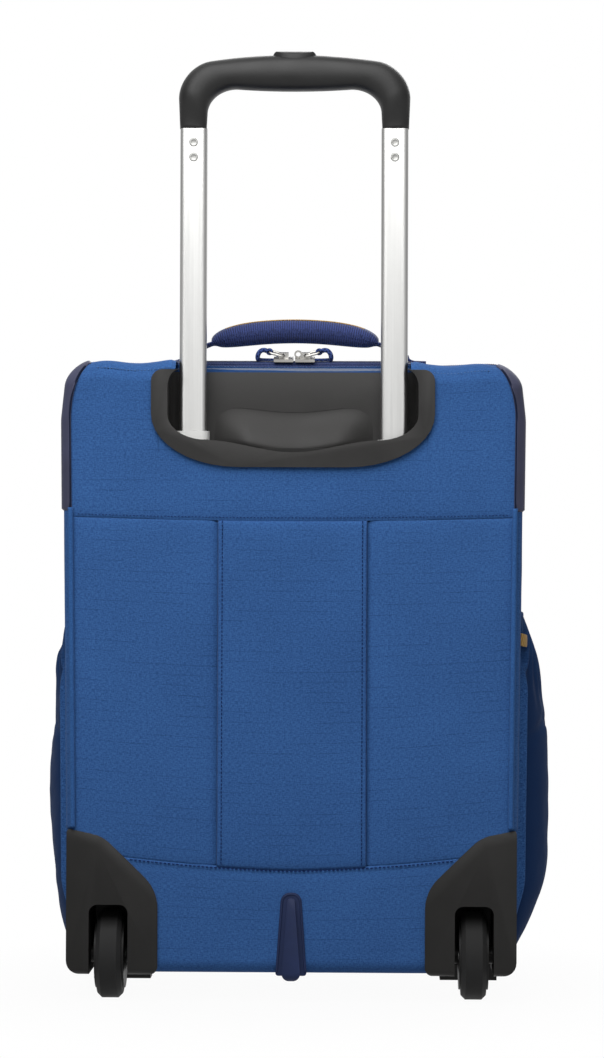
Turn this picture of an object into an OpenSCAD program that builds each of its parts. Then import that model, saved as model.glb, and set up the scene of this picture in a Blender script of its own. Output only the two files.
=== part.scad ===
// Softside upright suitcase, seen from behind along +Y. Millimetres, +Z up.
// The back with the pull handle and the wheels faces -Y, and x runs to the right of that view.
// Inside the modules y counts from the plane of the back panel.

/* [Case] */
// Width of the body at the top
case_w = 324; // [290:1:380]
// How much each side draws in towards the bottom
side_taper = 4.5; // [0:0.5:8]
// Height from the floor to the top of the body
case_h = 450; // [430:1:520]
// Height of the underside above the floor
ground_gap = 20; // [16:1:28]
// Depth of the front shell, from the zip to the front panel
shell_d = 130; // [100:1:180]
// Thickness of the padded walls
wall = 3; // [2:0.5:4]
// Rounding of the upper corners, seen from behind
corner_r = 18; // [14:1:26]
// How far the sides lean in at the top
top_lean = 4; // [2:0.5:8]
// Height over which they lean in
lean_h = 42; // [30:1:60]
// Rounding of the lower corners, seen from behind
foot_corner_r = 12; // [8:1:18]
// Rounding of the upper edges, seen from the side
shoulder_r = 14; // [10:1:20]
// Rounding of the lower edges, seen from the side
sole_r = 10; // [8:1:14]
// Rounding of the upright edges
edge_r = 8; // [5:1:10]

/* [Back panel] */
// Distance of the edge seam from the side of the body
seam_inset = 5.5; // [5:0.5:12]
// Distance from the handle cup down to the upper cross seam
upper_seam_drop = 35.5; // [20:0.5:60]
// Height of the lower cross seam above the floor
lower_seam_z = 95; // [85:1:130]
// Width of the central overlay
overlay_w = 105; // [80:1:130]
// Thickness of the fabric
fabric = 1; // [0.8:0.1:1.5]
// Thickness of the stiff back board
board = 2.5; // [2:0.5:4]
// Diameter of the edge piping
piping_d = 3.4; // [2.5:0.1:4.5]
// Length of the corner guards
guard_h = 107; // [60:1:140]
// Reach of the corner guards round each edge
guard_reach = 18; // [12:1:24]

/* [Pull handle] */
// Distance from the side of the body to the centre line of a tube
tube_inset = 91; // [86:0.5:100]
// Width of the upper tube
tube_w = 19; // [17:0.5:21]
// Depth of the upper tube
tube_d = 12; // [11:0.5:14]
// Rounding of the upper tube's edges
tube_r = 3.5; // [2:0.5:5]
// Wall of every tube
tube_wall = 1.2; // [1:0.1:1.5]
// Gap between one tube and the next
tube_gap = 0.35; // [0.3:0.05:0.6]
// Length of the upper tubes
upper_tube_l = 350; // [320:1:355]
// How far the upper stage is drawn out
pull_out = 213.5; // [150:0.5:220]
// How much higher the left tube of the middle stage stands
left_stage_lift = 6; // [4:0.5:8]
// Height of the collars on the middle stage
collar_h = 6; // [5:0.5:8]
// How far the grip's legs stand out beyond the tubes
leg_over = 1.3; // [0.8:0.1:2]
// Height of the grip from the ends of its legs to its top
grip_h = 52.6; // [50:0.2:60]
// Height of the grip bar
bar_h = 25.6; // [24:0.2:28]
// Depth of the grip
grip_d = 24; // [22:0.5:26]
// Width of the bend at the grip's upper corners
grip_corner_w = 23; // [18:0.5:26]
// Width of the release button
button_w = 31; // [26:0.5:36]
// How far the release button stands proud
button_proud = 2; // [1:0.5:3]
// Travel of the release button
button_travel = 3; // [2:0.5:3]
// Diameter of the push rods
rod_d = 4; // [3:0.5:4.5]
// Diameter of the lock pins
pin_d = 5; // [4:0.5:6]
// Diameter of the rivet heads
rivet_d = 6; // [5:0.5:7]

/* [Handle cup] */
// Width of the cup's rim beside its opening
cup_rim_w = 11.5; // [10:0.5:16]
// Height of the cup
cup_h = 68.5; // [64:0.5:76]
// Room from a tube's centre line to the side of the cup
cup_side_room = 17; // [16:0.5:20]
// Distance from the top of the body down to the cup
cup_drop = 7; // [5:1:9]
// Wall of the cup
cup_wall = 2; // [1.5:0.5:3]
// Thickness of the cup's rim
cup_rim = 3; // [2.5:0.5:4]
// Room between the grip and the back of the cup
cup_room = 2; // [1.5:0.5:4]

/* [Wheels] */
// Diameter of the wheels
wheel_d = 62; // [54:1:66]
// Width of the tread
tread_w = 17.6; // [15:0.2:20]
// Distance from the side of a housing to the middle plane of its wheel
wheel_inset = 29.5; // [28:0.5:32]
// How far the wheels stand out behind the back panel
wheel_standout = 6; // [4:0.5:8]
// Width of a wheel housing
housing_w = 64; // [60:1:68]
// Height of a wheel housing
housing_h = 102; // [98:1:110]
// How far the housings stand out behind the back panel
housing_standout = 3; // [2:0.5:3.5]
// Wall of the housings
housing_wall = 2.5; // [2:0.5:3]
// Width of the gap that a wheel runs in
slot_w = 27.3; // [26:0.1:29]
// Diameter of the axles
axle_d = 6; // [5:0.5:8]

/* [Trim] */
// Distance of the carry handle in front of the back panel
handle_y = 62; // [58:1:80]
// Distance between the ends of the carry handle
handle_l = 164; // [150:1:180]
// Length of the padded part of the carry handle
pad_l = 117; // [100:1:125]
// Width of the carry handle's pad
pad_w = 26; // [22:1:30]
// Width of the carry handle's strap
strap_w = 22; // [18:1:24]
// Rise of the padded part above the top of the body
pad_rise = 24; // [20:1:32]
// Thickness of the pad in its middle
pad_h = 18; // [12:1:20]
// Width of each side of the zip tape
tape_w = 2.8; // [2.4:0.1:4]
// Length of a zip slider
slider_l = 14; // [11:0.5:16]
// Bulge of the side pockets
pocket_bulge = 22; // [14:1:30]
// Width of the side pockets
pocket_w = 88; // [70:1:95]
// Height of the side pockets' mouths above the floor
pocket_top_z = 268; // [220:1:290]
// Depth of the front pocket
front_pocket_d = 26; // [18:1:34]
// Width of the front pocket
front_pocket_w = 240; // [200:1:260]
// Height of the front pocket
front_pocket_h = 290; // [240:1:310]
// Height of the skid's upper end above the floor
skid_top_z = 77; // [65:1:80]
// Width of the front feet
foot_w = 42; // [30:1:50]

/* [Hidden] */
$fn = 48;
LEFT = -1;
RIGHT = 1;

// Small distances used in many places
over = 1;
clear = 0.3;
snug = 0.05;
arc_steps = 6;
guard_t = 1.2;
base_w = case_w - 2 * side_taper;

// Depths, counted from the back panel
tube_y = grip_d / 2 + 4;
cup_d = tube_y + grip_d / 2 + cup_room;
lining_t = 1.2;
lining_y = cup_d + cup_wall + clear;
zip_half_gap = tape_w + clear / 2;
tray_edge_y = lining_y + lining_t + 1.5;
zip_y = tray_edge_y + zip_half_gap;
shell_edge_y = zip_y + zip_half_gap;
case_d = zip_y + shell_d;
full_d = wheel_standout + case_d + front_pocket_d;
back_y = wheel_standout - full_d / 2;

// Heights of the pull handle
cup_top_z = case_h - cup_drop;
cup_bottom_z = cup_top_z - cup_h;
cup_floor_t = 3;
cup_floor_r = 5;
cup_side_r = 12;
cup_corner_r = 8;
tube_spacing = case_w - 2 * tube_inset;
cup_mouth_w = tube_spacing + 2 * cup_side_room;
cup_w = cup_mouth_w + 2 * cup_rim_w;
upper_seam_z = cup_bottom_z - upper_seam_drop;
cup_floor_rise = 13.5;
cup_floor_z = cup_bottom_z + cup_floor_rise;
collar_z = cup_floor_z + clear;
leg_z = collar_z + left_stage_lift + collar_h + clear + pull_out;
grip_top_z = leg_z + grip_h;
tube_foot_room = 1.6;
tube_foot_z = ground_gap + wall + tube_foot_room;
tube_foot_h = 12;
tube_foot_floor = 4;
tube_foot_edge = 1.5;
outer_tube_z = tube_foot_z + tube_foot_floor + over;
middle_tube_z = outer_tube_z + 10;
middle_w = tube_w + 2 * (tube_gap + tube_wall);
middle_d = tube_d + 2 * (tube_gap + tube_wall);
middle_r = tube_r + tube_gap + tube_wall;
outer_w = middle_w + 2 * (tube_gap + tube_wall);
outer_d = middle_d + 2 * (tube_gap + tube_wall);
outer_r = middle_r + tube_gap + tube_wall;
collar_seat = collar_h / 2;
collar_lip = 0.75;
tongue_l = 30;
tongue_w = tube_w - 2 * tube_wall - clear;
tongue_d = tube_d - 2 * tube_wall - clear;
rivet_drops = [10, 20.5];
rivet_shank_r = 1.5;
rivet_proud = 0.1;
rivet_sink = 0.7;
plug_h = 32;
pin_l = 9;
pin_rise = 12;
pin_z = leg_z - upper_tube_l + pin_rise;

// Push bar and button, inside the grip bar
push_bar_h = 4;
push_bar_d = 7;
push_bar_rise = 36;
push_bar_z = leg_z + push_bar_rise;
push_bar_w = tube_spacing + rod_d;
button_d = 18;
grip_w = tube_spacing + tube_w + 2 * leg_over;
leg_w = tube_w + leg_over + snug;
spring_r = 2.6;
spring_wire = 0.8;
spring_seat = 3.2;
spring_turns = 3;

// Screws
screw_r = 1.5;
screw_head_r = 3;
screw_head_h = 2;
screw_l = 8;
screw_margin = 1.25;
cup_screw_x = cup_mouth_w / 2 + cup_wall + clear + screw_head_r + screw_margin;
cup_screw_drop = 20;
cup_screw_z = cup_top_z - cup_screw_drop;
cup_low_screw_x = 28;
cup_low_screw_z = cup_bottom_z + screw_head_r + 2 * over;
tab_w = 9;
tab_t = 2.5;
tab_h = 36;
tab_low_z = tube_foot_z + tube_foot_h + clear;
tab_high_z = tab_low_z + tab_h;
tab_screw_inset = 8;
tab_screw_zs = [tab_low_z + tab_screw_inset, tab_high_z - tab_screw_inset];

// Wheels and housings
wheel_r = wheel_d / 2;
hub_r = wheel_r - 7;
hub_w = tread_w + 3;
axle_y = wheel_r - wheel_standout;
housing_x = base_w / 2;
wheel_x = housing_x - wheel_inset;
housing_bottom_z = ground_gap - 1;
housing_top_z = housing_bottom_z + housing_h;
wheel_room = 2;
housing_y = axle_y + wheel_r + wheel_room + housing_wall;
slot_top_z = wheel_d + 3 * wheel_room;
slot_r = 6;
boss_r = 6;
tread_bevel = 3;
housing_slant_x = housing_x - 0.39 * housing_w;
housing_slant_z = housing_top_z - 5;
housing_side_z = housing_bottom_z + 0.58 * housing_h;
housing_bevel_w = 8;
housing_bevel_slope = 16;
tab_x = housing_x - housing_w - tab_w / 2;

// Carry handle, its pivot line a little above the top
strap_t = 2.6;
pivot_rise = 7;
pivot_z = case_h + pivot_rise;
handle_half = handle_l / 2;
end_l = 10;
end_gap = 0.9;

// Zip
slider_w = 9;
slider_h = 6;
slider_base_t = 2;
bridge_w = 2.4;
pull_bore_drop = 1.5;
slider_gap = 0.6;
slider_x = slider_l / 2 + slider_gap;
tooth_rise = 0.6;
slider_z = case_h + tooth_rise + clear;
pull_pin_r = 1;
pull_l = 13;
pull_w = 7;
pull_wire = 1.6;
pull_t = 2.4;
pull_tilt = 15;
cord_d = 3.4;
// Right cord pull: x outward and y forward from the slider's middle, height above the top of the body
cord_route = [
    [11.35, 0, 8.5], [13.7, -0.3, 9.3], [16.1, -0.6, 8.9], [17.9, -0.6, 6.9], [18.6, 0.2, 4.4], [18.2, 2.6, 2.8],
    [16.4, 5.6, 2.4], [13.4, 8, 2.4], [9.8, 9.1, 2.4], [6.2, 8.9, 2.4], [3.2, 7.7, 2.4]
];
cord_side = [0.35, 0.65, 0.68];
wire_d = 4;

// Side pockets
pocket_y = zip_y + 6;
pocket_low_z = 36;
pocket_t = 1.5;
pocket_mouth = 6;
mouth_tape_h = 9;
mouth_tape_drop = 18;
front_pocket_z = ground_gap + 45;
front_pocket_r = 24;
pocket_zip_w = 10;

// Points of a polygon with each corner rounded by its own radius
function unit(v) = v / norm(v);
function corner_arc(before, at, after, r, steps) =
    let (
        a = unit(before - at),
        b = unit(after - at),
        half = acos(a * b) / 2,
        middle = at + unit(a + b) * r / sin(half),
        from = at + a * r / tan(half) - middle,
        to = at + b * r / tan(half) - middle,
        turn = 180 - 2 * half,
        way = sign(cross(from, to))
    )
    [for (i = [0 : steps])
        let (t = way * turn * i / steps)
        middle + [from.x * cos(t) - from.y * sin(t), from.x * sin(t) + from.y * cos(t)]];
function rounded(points, radii, steps = arc_steps) =
    let (n = len(points))
    [for (i = [0 : n - 1])
        each radii[i] <= 0
            ? [points[i]]
            : corner_arc(points[(i + n - 1) % n], points[i], points[(i + 1) % n], radii[i], steps)];

// Extrusions of outlines drawn in the xz and yz planes
module along_y(from, to) translate([0, to, 0]) rotate([90, 0, 0]) linear_extrude(to - from) children();
module along_x(half) rotate([90, 0, 90]) translate([0, 0, -half]) linear_extrude(2 * half) children();
module placed() translate([0, back_y, 0]) children();
module on_side(side) {
    if (side == RIGHT) children();
    else mirror([1, 0, 0]) children();
}

// A solid swept along points, with one ring of flat points for each of them
function tangent(path, i) = unit(path[min(i + 1, len(path) - 1)] - path[max(i - 1, 0)]);
function ring(path, i, up, shape) =
    let (t = tangent(path, i), u = unit(up - (up * t) * t), v = cross(t, u))
    [for (s = shape) path[i] + s.x * u + s.y * v];
function ellipse(a, b, sides) =
    [for (k = [0 : sides - 1]) [a * cos(360 * k / sides), b * sin(360 * k / sides)]];
module sweep(path, up, shapes) {
    n = len(shapes[0]);
    last = len(path) - 1;
    points = [for (i = [0 : last]) each ring(path, i, up, shapes[i])];
    sides = [for (i = [0 : last - 1]) for (k = [0 : n - 1])
        let (a = i * n + k, b = i * n + (k + 1) % n, c = b + n, d = a + n)
        each [[a, d, c], [a, c, b]]];
    start = [for (k = [1 : n - 2]) [0, k, k + 1]];
    end = [for (k = [1 : n - 2]) [last * n, last * n + k + 1, last * n + k]];
    polyhedron(concat(points, []), concat(sides, start, end));
}
module tube(path, up, d, sides = 8) sweep(path, up, [for (p = path) ellipse(d / 2, d / 2, sides)]);

// Outer form of the body, drawn in by a distance
function wall_x(z) = base_w / 2 + (case_w - base_w) / 2 * (z - ground_gap) / (case_h - lean_h - ground_gap);
lean_r = 60;
module back_outline(inset) polygon(rounded(
    [
        [inset - base_w / 2, ground_gap + inset], [base_w / 2 - inset, ground_gap + inset],
        [case_w / 2 - inset, case_h - lean_h], [case_w / 2 - top_lean - inset, case_h - inset],
        [inset + top_lean - case_w / 2, case_h - inset], [inset - case_w / 2, case_h - lean_h]
    ],
    [
        foot_corner_r - inset, foot_corner_r - inset, lean_r,
        corner_r - inset, corner_r - inset, lean_r
    ]));
module side_outline(inset) polygon(rounded(
    [
        [inset, ground_gap + inset], [case_d - inset, ground_gap + inset],
        [case_d - inset, case_h - inset], [inset, case_h - inset]
    ],
    [sole_r - inset, sole_r - inset, shoulder_r - inset, shoulder_r - inset]));
module plan_outline(inset) polygon(rounded(
    [
        [inset - case_w / 2, inset], [case_w / 2 - inset, inset],
        [case_w / 2 - inset, case_d - inset], [inset - case_w / 2, case_d - inset]
    ],
    [edge_r - inset, edge_r - inset, edge_r - inset, edge_r - inset]));
module case_form(inset) intersection() {
    along_y(-over, case_d + over) back_outline(inset);
    along_x(case_w) side_outline(inset);
    linear_extrude(2 * case_h) plan_outline(inset);
}
module slab(from, to, low = 0) translate([-case_w, from, low]) cube([2 * case_w, to - from, 2 * case_h]);

// Outlines of the handle cup: rim and opening
cup_bend = 37.5;
cup_flat = 38;
mouth_bend_w = 28;
mouth_bend_h = 18;
lip_rise = 19;
mouth_close = 8;
mouth_close_h = 13;
lip_dip = 8.6;
lip_dip_half = cup_mouth_w / 2 - mouth_bend_w + 2 * over;
bend_steps = 10;
function cup_rim_half() =
    concat(
        [for (k = [0 : bend_steps])
            let (t = 90 * k / bend_steps)
            [cup_flat + (cup_w / 2 - cup_flat) * sin(t), cup_bottom_z + cup_bend * (1 - cos(t))]],
        corner_arc(
            [cup_w / 2, cup_bottom_z], [cup_w / 2, cup_top_z], [0, cup_top_z], cup_corner_r, arc_steps));
function mouth_low_z(x) =
    cup_bottom_z + lip_rise - (abs(x) < lip_dip_half ? lip_dip * pow(cos(90 * x / lip_dip_half), 2) : 0);
function cup_mouth_half(grow, top) =
    let (half = cup_mouth_w / 2 + grow)
    concat(
        [for (k = [0 : bend_steps])
            let (x = (half - mouth_bend_w) * k / bend_steps)
            [x, mouth_low_z(x) - grow]],
        [for (k = [1 : bend_steps])
            let (t = 90 * k / bend_steps)
            [
                half - mouth_bend_w + mouth_bend_w * sin(t),
                cup_bottom_z + lip_rise - grow + mouth_bend_h * (1 - cos(t))
            ]],
        [for (k = [0 : bend_steps])
            let (t = 90 * k / bend_steps)
            [half - mouth_close * (1 - cos(t)), cup_top_z - mouth_close_h * (1 - sin(t))]],
        [[half - mouth_close, top]]);
function mirrored(half) = concat(half, [for (k = [len(half) - 1 : -1 : 0]) [-half[k].x, half[k].y]]);
module cup_rim_outline() polygon(mirrored(cup_rim_half()));
module cup_mouth_outline(grow, top) polygon(mirrored(cup_mouth_half(grow, top)));
module tub_outline(grow, top) translate([-cup_mouth_w / 2 - grow, cup_floor_z - cup_floor_t - grow])
    square([cup_mouth_w + 2 * grow, top - cup_floor_z + cup_floor_t + grow]);

// Outline of a wheel housing, seen from behind, on the right
module housing_outline(inset) polygon(rounded(
    [
        [housing_x - inset, housing_bottom_z + inset], [housing_x - inset, housing_top_z - inset],
        [housing_slant_x, housing_slant_z - inset],
        [housing_x - housing_w + inset, housing_side_z],
        [housing_x - housing_w + inset, housing_bottom_z + inset]
    ],
    [10, 2, 26, 30, 6]));
module housing_side(inset) polygon(rounded(
    [
        [inset - housing_standout, housing_bottom_z + inset], [housing_y - inset, housing_bottom_z + inset],
        [housing_y - inset, housing_bottom_z + housing_h * 0.5],
        [tray_edge_y, housing_top_z - inset], [inset - housing_standout, housing_top_z - inset]
    ],
    [5, 6, 12, 4, 4]));
module housing_form(inset) intersection() {
    along_y(-housing_standout - over, housing_y + over) housing_outline(inset);
    along_x(case_w) housing_side(inset);
}
// What a sloping band along one edge of the housing takes away: a point of the edge, and the edge's turn
module bevel_cut(at, turn) translate([at.x, -housing_standout, at.y]) rotate([0, turn, 0])
    translate([0, 0, -housing_bevel_w]) rotate([-housing_bevel_slope, 0, 0])
        translate([-case_w, -case_d, 0]) cube([2 * case_w, case_d, case_h]);
module housing_bevels() {
    slant = atan2(housing_slant_x - housing_x + housing_w, housing_slant_z - housing_side_z);
    top = atan2(housing_top_z - housing_slant_z, housing_x - housing_slant_x);
    bevel_cut([housing_x, housing_top_z], -top);
    bevel_cut([housing_slant_x, housing_slant_z], slant - 90);
}
module housing_cut(side) on_side(side) housing_form(-clear);
module both_housing_cuts() {
    housing_cut(LEFT);
    housing_cut(RIGHT);
}

// Hole positions of the screws: x, z, and the depth of the face under the head
cup_screw_face = wall + clear + board;
function screw_places() = concat(
    [for (s = [LEFT, RIGHT]) [s * cup_screw_x, cup_screw_z, cup_screw_face]],
    [for (s = [LEFT, RIGHT]) [s * cup_low_screw_x, cup_low_screw_z, cup_screw_face]],
    [for (s = [LEFT, RIGHT]) for (z = tab_screw_zs) [s * tab_x, z, cup_screw_face + clear + tab_t]]);
module screw_holes() for (p = screw_places())
    along_y(p[2] - screw_l - snug, p[2] + over) translate([p.x, p.y]) circle(screw_r + snug);

// Back tray: the padded walls behind the zip
module back_shell() color("steelblue") placed() difference() {
    case_form(0);
    case_form(wall);
    slab(tray_edge_y, 2 * case_d);
    along_y(-over, lining_y) tub_outline(cup_wall + clear, 2 * case_h);
    both_housing_cuts();
    screw_holes();
}
module back_board() color("dimgray") placed() difference() {
    along_y(wall + clear, wall + clear + board) back_outline(wall + edge_r / 2);
    along_y(0, lining_y) tub_outline(cup_wall + clear, 2 * case_h);
    both_housing_cuts();
    screw_holes();
    slab(0, case_d, case_h - shoulder_r);
    translate([-case_w, 0, 0]) cube([2 * case_w, case_d, ground_gap + sole_r]);
}

// Edge seam on the right, from a height up to the top: straight, then a quarter of an ellipse
seam_top_x = case_w / 2 - top_lean - corner_r;
function seam_line(low) =
    let (
        start = [wall_x(low) - seam_inset, low],
        knee = [case_w / 2 - seam_inset, case_h - lean_h],
        rise = lean_h + piping_d / 2
    )
    concat(
        [for (k = [0 : 3]) start + (knee - start) * k / 4],
        [for (k = [0 : bend_steps])
            let (t = 90 * k / bend_steps)
            [seam_top_x + (knee.x - seam_top_x) * cos(t), knee.y + rise * sin(t)]]);
module seam_outline(grow) polygon(mirrored([for (p = seam_line(ground_gap)) [p.x + grow, p.y]]));

// Fabric of the back panel, cut along the seams
module back_skin(low, high, x_from, x_to) difference() {
    intersection() {
        along_y(-fabric, 0) seam_outline(-piping_d / 2 - clear);
        translate([x_from, -case_d, low]) cube([x_to - x_from, 2 * case_d, high - low]);
    }
    along_y(-case_d, case_d) cup_mouth_outline(cup_wall + clear, 2 * case_h);
    both_housing_cuts();
    screw_holes();
}
panel_in = overlay_w / 2 + clear;
module back_yoke() color("steelblue") placed()
    back_skin(upper_seam_z + clear, case_h - shoulder_r, -case_w, case_w);
module back_panel(side) color("steelblue") placed() on_side(side)
    back_skin(lower_seam_z + clear, upper_seam_z, panel_in, case_w);
module back_overlay() color("royalblue") placed()
    translate([-overlay_w / 2, -2 * fabric, lower_seam_z + clear])
        cube([overlay_w, 2 * fabric, upper_seam_z - lower_seam_z - clear]);
module back_lower_band() color("steelblue") placed() difference() {
    back_skin(ground_gap + sole_r, lower_seam_z, -case_w, case_w);
    along_y(-case_d, case_d) skid_outline(clear);
}

// Piping along the edge seam: up from the housing, round the corner and forward over the shoulder
function piping_depth(z) =
    shoulder_r - sqrt(pow(shoulder_r + piping_d / 2, 2) - pow(max(0, z - case_h + shoulder_r), 2));
module piping(side) {
    line = seam_line(housing_top_z + over);
    end = line[len(line) - 1];
    forward = tray_edge_y - 3 * over;
    path = concat(
        [for (p = line) [p.x, piping_depth(p.y), p.y]],
        [for (k = [1 : 3]) [end.x, shoulder_r + (forward - shoulder_r) * k / 3, end.y]]);
    color("navy") placed() on_side(side) tube(path, [1, 0, 0], piping_d);
}
module corner_guard(side) color("darkslateblue") placed() on_side(side) difference() {
    case_form(-guard_t);
    case_form(0);
    along_y(-case_d, shoulder_r) seam_outline(piping_d / 2 + clear);
    slab(guard_reach, 2 * case_d);
    translate([-2 * case_w, -case_d, -over])
        cube([2 * case_w + seam_top_x + piping_d, 3 * case_d, 2 * case_h]);
    translate([-case_w, -case_d, -over]) cube([2 * case_w, 3 * case_d, case_h - guard_h + over]);
}

// Handle cup: rim on the fabric, tub sunk between the tubes, open at the top
// Room inside the cup, with rounded corners at its back and along its floor
module cup_room_form() intersection() {
    along_y(cup_wall, cup_d) translate([0, cup_floor_t]) tub_outline(0, 2 * case_h);
    along_x(case_w) polygon(rounded(
        [[0, cup_floor_z], [cup_d, cup_floor_z], [cup_d, 2 * case_h], [0, 2 * case_h]],
        [0, cup_floor_r, 0, 0]));
    linear_extrude(2 * case_h) polygon(rounded(
        [
            [-cup_mouth_w / 2, 0], [cup_mouth_w / 2, 0], [cup_mouth_w / 2, cup_d],
            [-cup_mouth_w / 2, cup_d]
        ],
        [0, 0, cup_side_r, cup_side_r]));
}
// Hollow slope between the tubes, from the back of the cup down to its lip
scoop_gap = 1.5;
scoop_half = tube_spacing / 2 - outer_w / 2 - scoop_gap;
scoop_rise = 31;
scoop_depth = 16;
scoop_dip = 4.5;
scoop_steps = 24;
function scoop_z(u) = cup_floor_z + scoop_rise * sqrt(1 - pow(abs(u), 10)) - scoop_dip * pow(cos(90 * u), 2);
module cup_scoop() intersection() {
    along_x(scoop_half) polygon(concat(
        [[cup_d + over, cup_floor_z - over], [cup_d + over, cup_floor_z + scoop_rise]],
        [for (k = [0 : bend_steps])
            let (t = 90 * k / bend_steps)
            [cup_d - scoop_depth * sin(t), cup_floor_z + scoop_rise * cos(t)]],
        [[cup_d - scoop_depth, cup_floor_z - over]]));
    along_y(0, cup_d + 2 * over) polygon(concat(
        [for (k = [0 : scoop_steps])
            let (u = 2 * k / scoop_steps - 1)
            [u * scoop_half, scoop_z(u)]],
        [[scoop_half, cup_floor_z - 2 * over], [-scoop_half, cup_floor_z - 2 * over]]));
}
module handle_cup() color("dimgray") placed() difference() {
    union() {
        along_y(-fabric - cup_rim, -fabric) cup_rim_outline();
        along_y(-fabric - over, over) intersection() {
            cup_mouth_outline(cup_wall, cup_top_z);
            tub_outline(cup_wall, cup_top_z);
        }
        along_y(0, cup_d + cup_wall) tub_outline(cup_wall, cup_top_z);
    }
    along_y(-case_d, cup_wall) cup_mouth_outline(0, 2 * case_h);
    difference() {
        cup_room_form();
        cup_scoop();
    }
    for (s = [LEFT, RIGHT]) translate([s * tube_spacing / 2, tube_y, 0])
        tube_bar(outer_w + 2 * snug, outer_d + 2 * snug, outer_r + snug, 0, case_h);
    screw_holes();
}
module case_screws() color("silver") placed() for (p = screw_places()) {
    along_y(p[2] - screw_l, p[2] + over / 2) translate([p.x, p.y]) circle(screw_r);
    along_y(p[2], p[2] + screw_head_h) translate([p.x, p.y]) circle(screw_head_r);
}

// Telescopic tubes
module round_rect(w, d, r) {
    square([w - 2 * r, d], center = true);
    square([w, d - 2 * r], center = true);
    for (x = [-1, 1]) for (y = [-1, 1]) translate([x * (w / 2 - r), y * (d / 2 - r)]) circle(r);
}
module tube_bar(w, d, r, low, high) translate([0, 0, low]) linear_extrude(high - low) round_rect(w, d, r);
module hollow_tube(w, d, r, low, high) difference() {
    tube_bar(w, d, r, low, high);
    tube_bar(w - 2 * tube_wall, d - 2 * tube_wall, r - tube_wall, low - over, high + over);
}
module at_tube(side) placed() on_side(side) translate([tube_spacing / 2, tube_y, 0]) children();
function lift(side) = side == LEFT ? left_stage_lift : 0;
module outer_tube(side) color("silver") at_tube(side)
    hollow_tube(outer_w, outer_d, outer_r, outer_tube_z, cup_floor_z);
module middle_tube(side) color("silver") at_tube(side) translate([0, 0, lift(side)])
    hollow_tube(middle_w, middle_d, middle_r, middle_tube_z, collar_z + collar_seat);
module middle_collars() color("whitesmoke") for (side = [LEFT, RIGHT]) at_tube(side)
    translate([0, 0, lift(side) + collar_z]) middle_collar();
module middle_collar() difference() {
    tube_bar(middle_w + 2 * collar_lip, middle_d + 2 * collar_lip, middle_r + collar_lip, 0, collar_h);
    tube_bar(middle_w + 2 * snug, middle_d + 2 * snug, middle_r + snug, -over, collar_seat);
    tube_bar(tube_w + 2 * tube_gap, tube_d + 2 * tube_gap, tube_r + tube_gap, 0, collar_h + over);
}
module tube_foot() color("dimgray") placed() difference() {
    translate([-tube_spacing / 2 - outer_w / 2 - tube_foot_edge, tube_y - outer_d / 2 - over, tube_foot_z])
        cube([tube_spacing + outer_w + 2 * tube_foot_edge, outer_d + 4 * over, tube_foot_h]);
    for (s = [LEFT, RIGHT]) translate([s * tube_spacing / 2, tube_y, 0])
        tube_bar(outer_w + 2 * snug, outer_d + 2 * snug, outer_r + snug, outer_tube_z, case_h);
    translate([-tube_spacing / 2 + outer_w, -case_d, tube_foot_z + tube_foot_floor])
        cube([tube_spacing - 2 * outer_w, 2 * case_d, case_h]);
}
module upper_tube(side) color("whitesmoke") at_tube(side) difference() {
    hollow_tube(tube_w, tube_d, tube_r, leg_z - upper_tube_l, leg_z);
    for (drop = rivet_drops) translate([0, 0, leg_z - drop]) {
        along_y(-tube_d, 0) circle(rivet_shank_r + snug);
        along_y(-tube_d, -tube_d / 2 + rivet_sink) circle(rivet_d / 2 + snug);
    }
    translate([0, 0, pin_z]) rotate([0, 90, 0]) cylinder(r = pin_d / 2 + 2 * snug, h = tube_w);
}

// Lock at the lower end of each upper tube
module lock_plug(side) color("black") at_tube(side) difference() {
    tube_bar(tongue_w, tongue_d, tube_r - tube_wall, leg_z - upper_tube_l, leg_z - upper_tube_l + plug_h);
    translate([0, 0, pin_z]) rotate([0, 90, 0])
        translate([0, 0, tube_w / 2 - pin_l - 3]) cylinder(r = pin_d / 2 + snug, h = tube_w);
    translate([0, 0, pin_z + pin_d / 2 + 2]) cylinder(r = rod_d / 2 + clear, h = plug_h);
}
module lock_pin(side) color("silver") at_tube(side) translate([tube_w / 2 - pin_l, 0, pin_z])
    rotate([0, 90, 0]) cylinder(r = pin_d / 2, h = pin_l);

// Grip: a bar bent down at both ends, with tongues that go into the tubes
crown_drop = 4.4;
grip_corner_h = 22.4;
bar_sag = 1.5;
bend_in_w = 21;
bend_in_h = 17.5;
corner_x = grip_w / 2 - grip_corner_w;
bend_x = grip_w / 2 - leg_w - bend_in_w;
function crown_z(x) = grip_top_z - crown_drop * pow(x / corner_x, 2);
function belly_z(x) = grip_top_z - bar_h + bar_sag * pow(x / bend_x, 2);
function grip_outer_half() = concat(
    [for (k = [0 : 3]) [corner_x * k / 4, crown_z(corner_x * k / 4)]],
    [for (k = [0 : bend_steps])
        let (t = 90 * k / bend_steps, x = corner_x + grip_corner_w * sin(t))
        [x, crown_z(x) - grip_corner_h * (1 - cos(t))]],
    [[grip_w / 2, leg_z]]);
function grip_inner_half() = concat(
    [for (k = [0 : 3]) [bend_x * k / 4, belly_z(bend_x * k / 4)]],
    [for (k = [0 : bend_steps])
        let (t = 90 * k / bend_steps)
        [bend_x + bend_in_w * sin(t), belly_z(bend_x) - bend_in_h * (1 - cos(t))]],
    [[grip_w / 2 - leg_w, leg_z]]);
module grip_outline() polygon(concat(
    grip_outer_half(),
    [for (k = [len(grip_inner_half()) - 1 : -1 : 1]) grip_inner_half()[k]],
    [for (p = grip_inner_half()) [-p.x, p.y]],
    [for (k = [len(grip_outer_half()) - 1 : -1 : 1]) [-grip_outer_half()[k].x, grip_outer_half()[k].y]]));
grip_round = 0.44 * grip_d;
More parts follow.
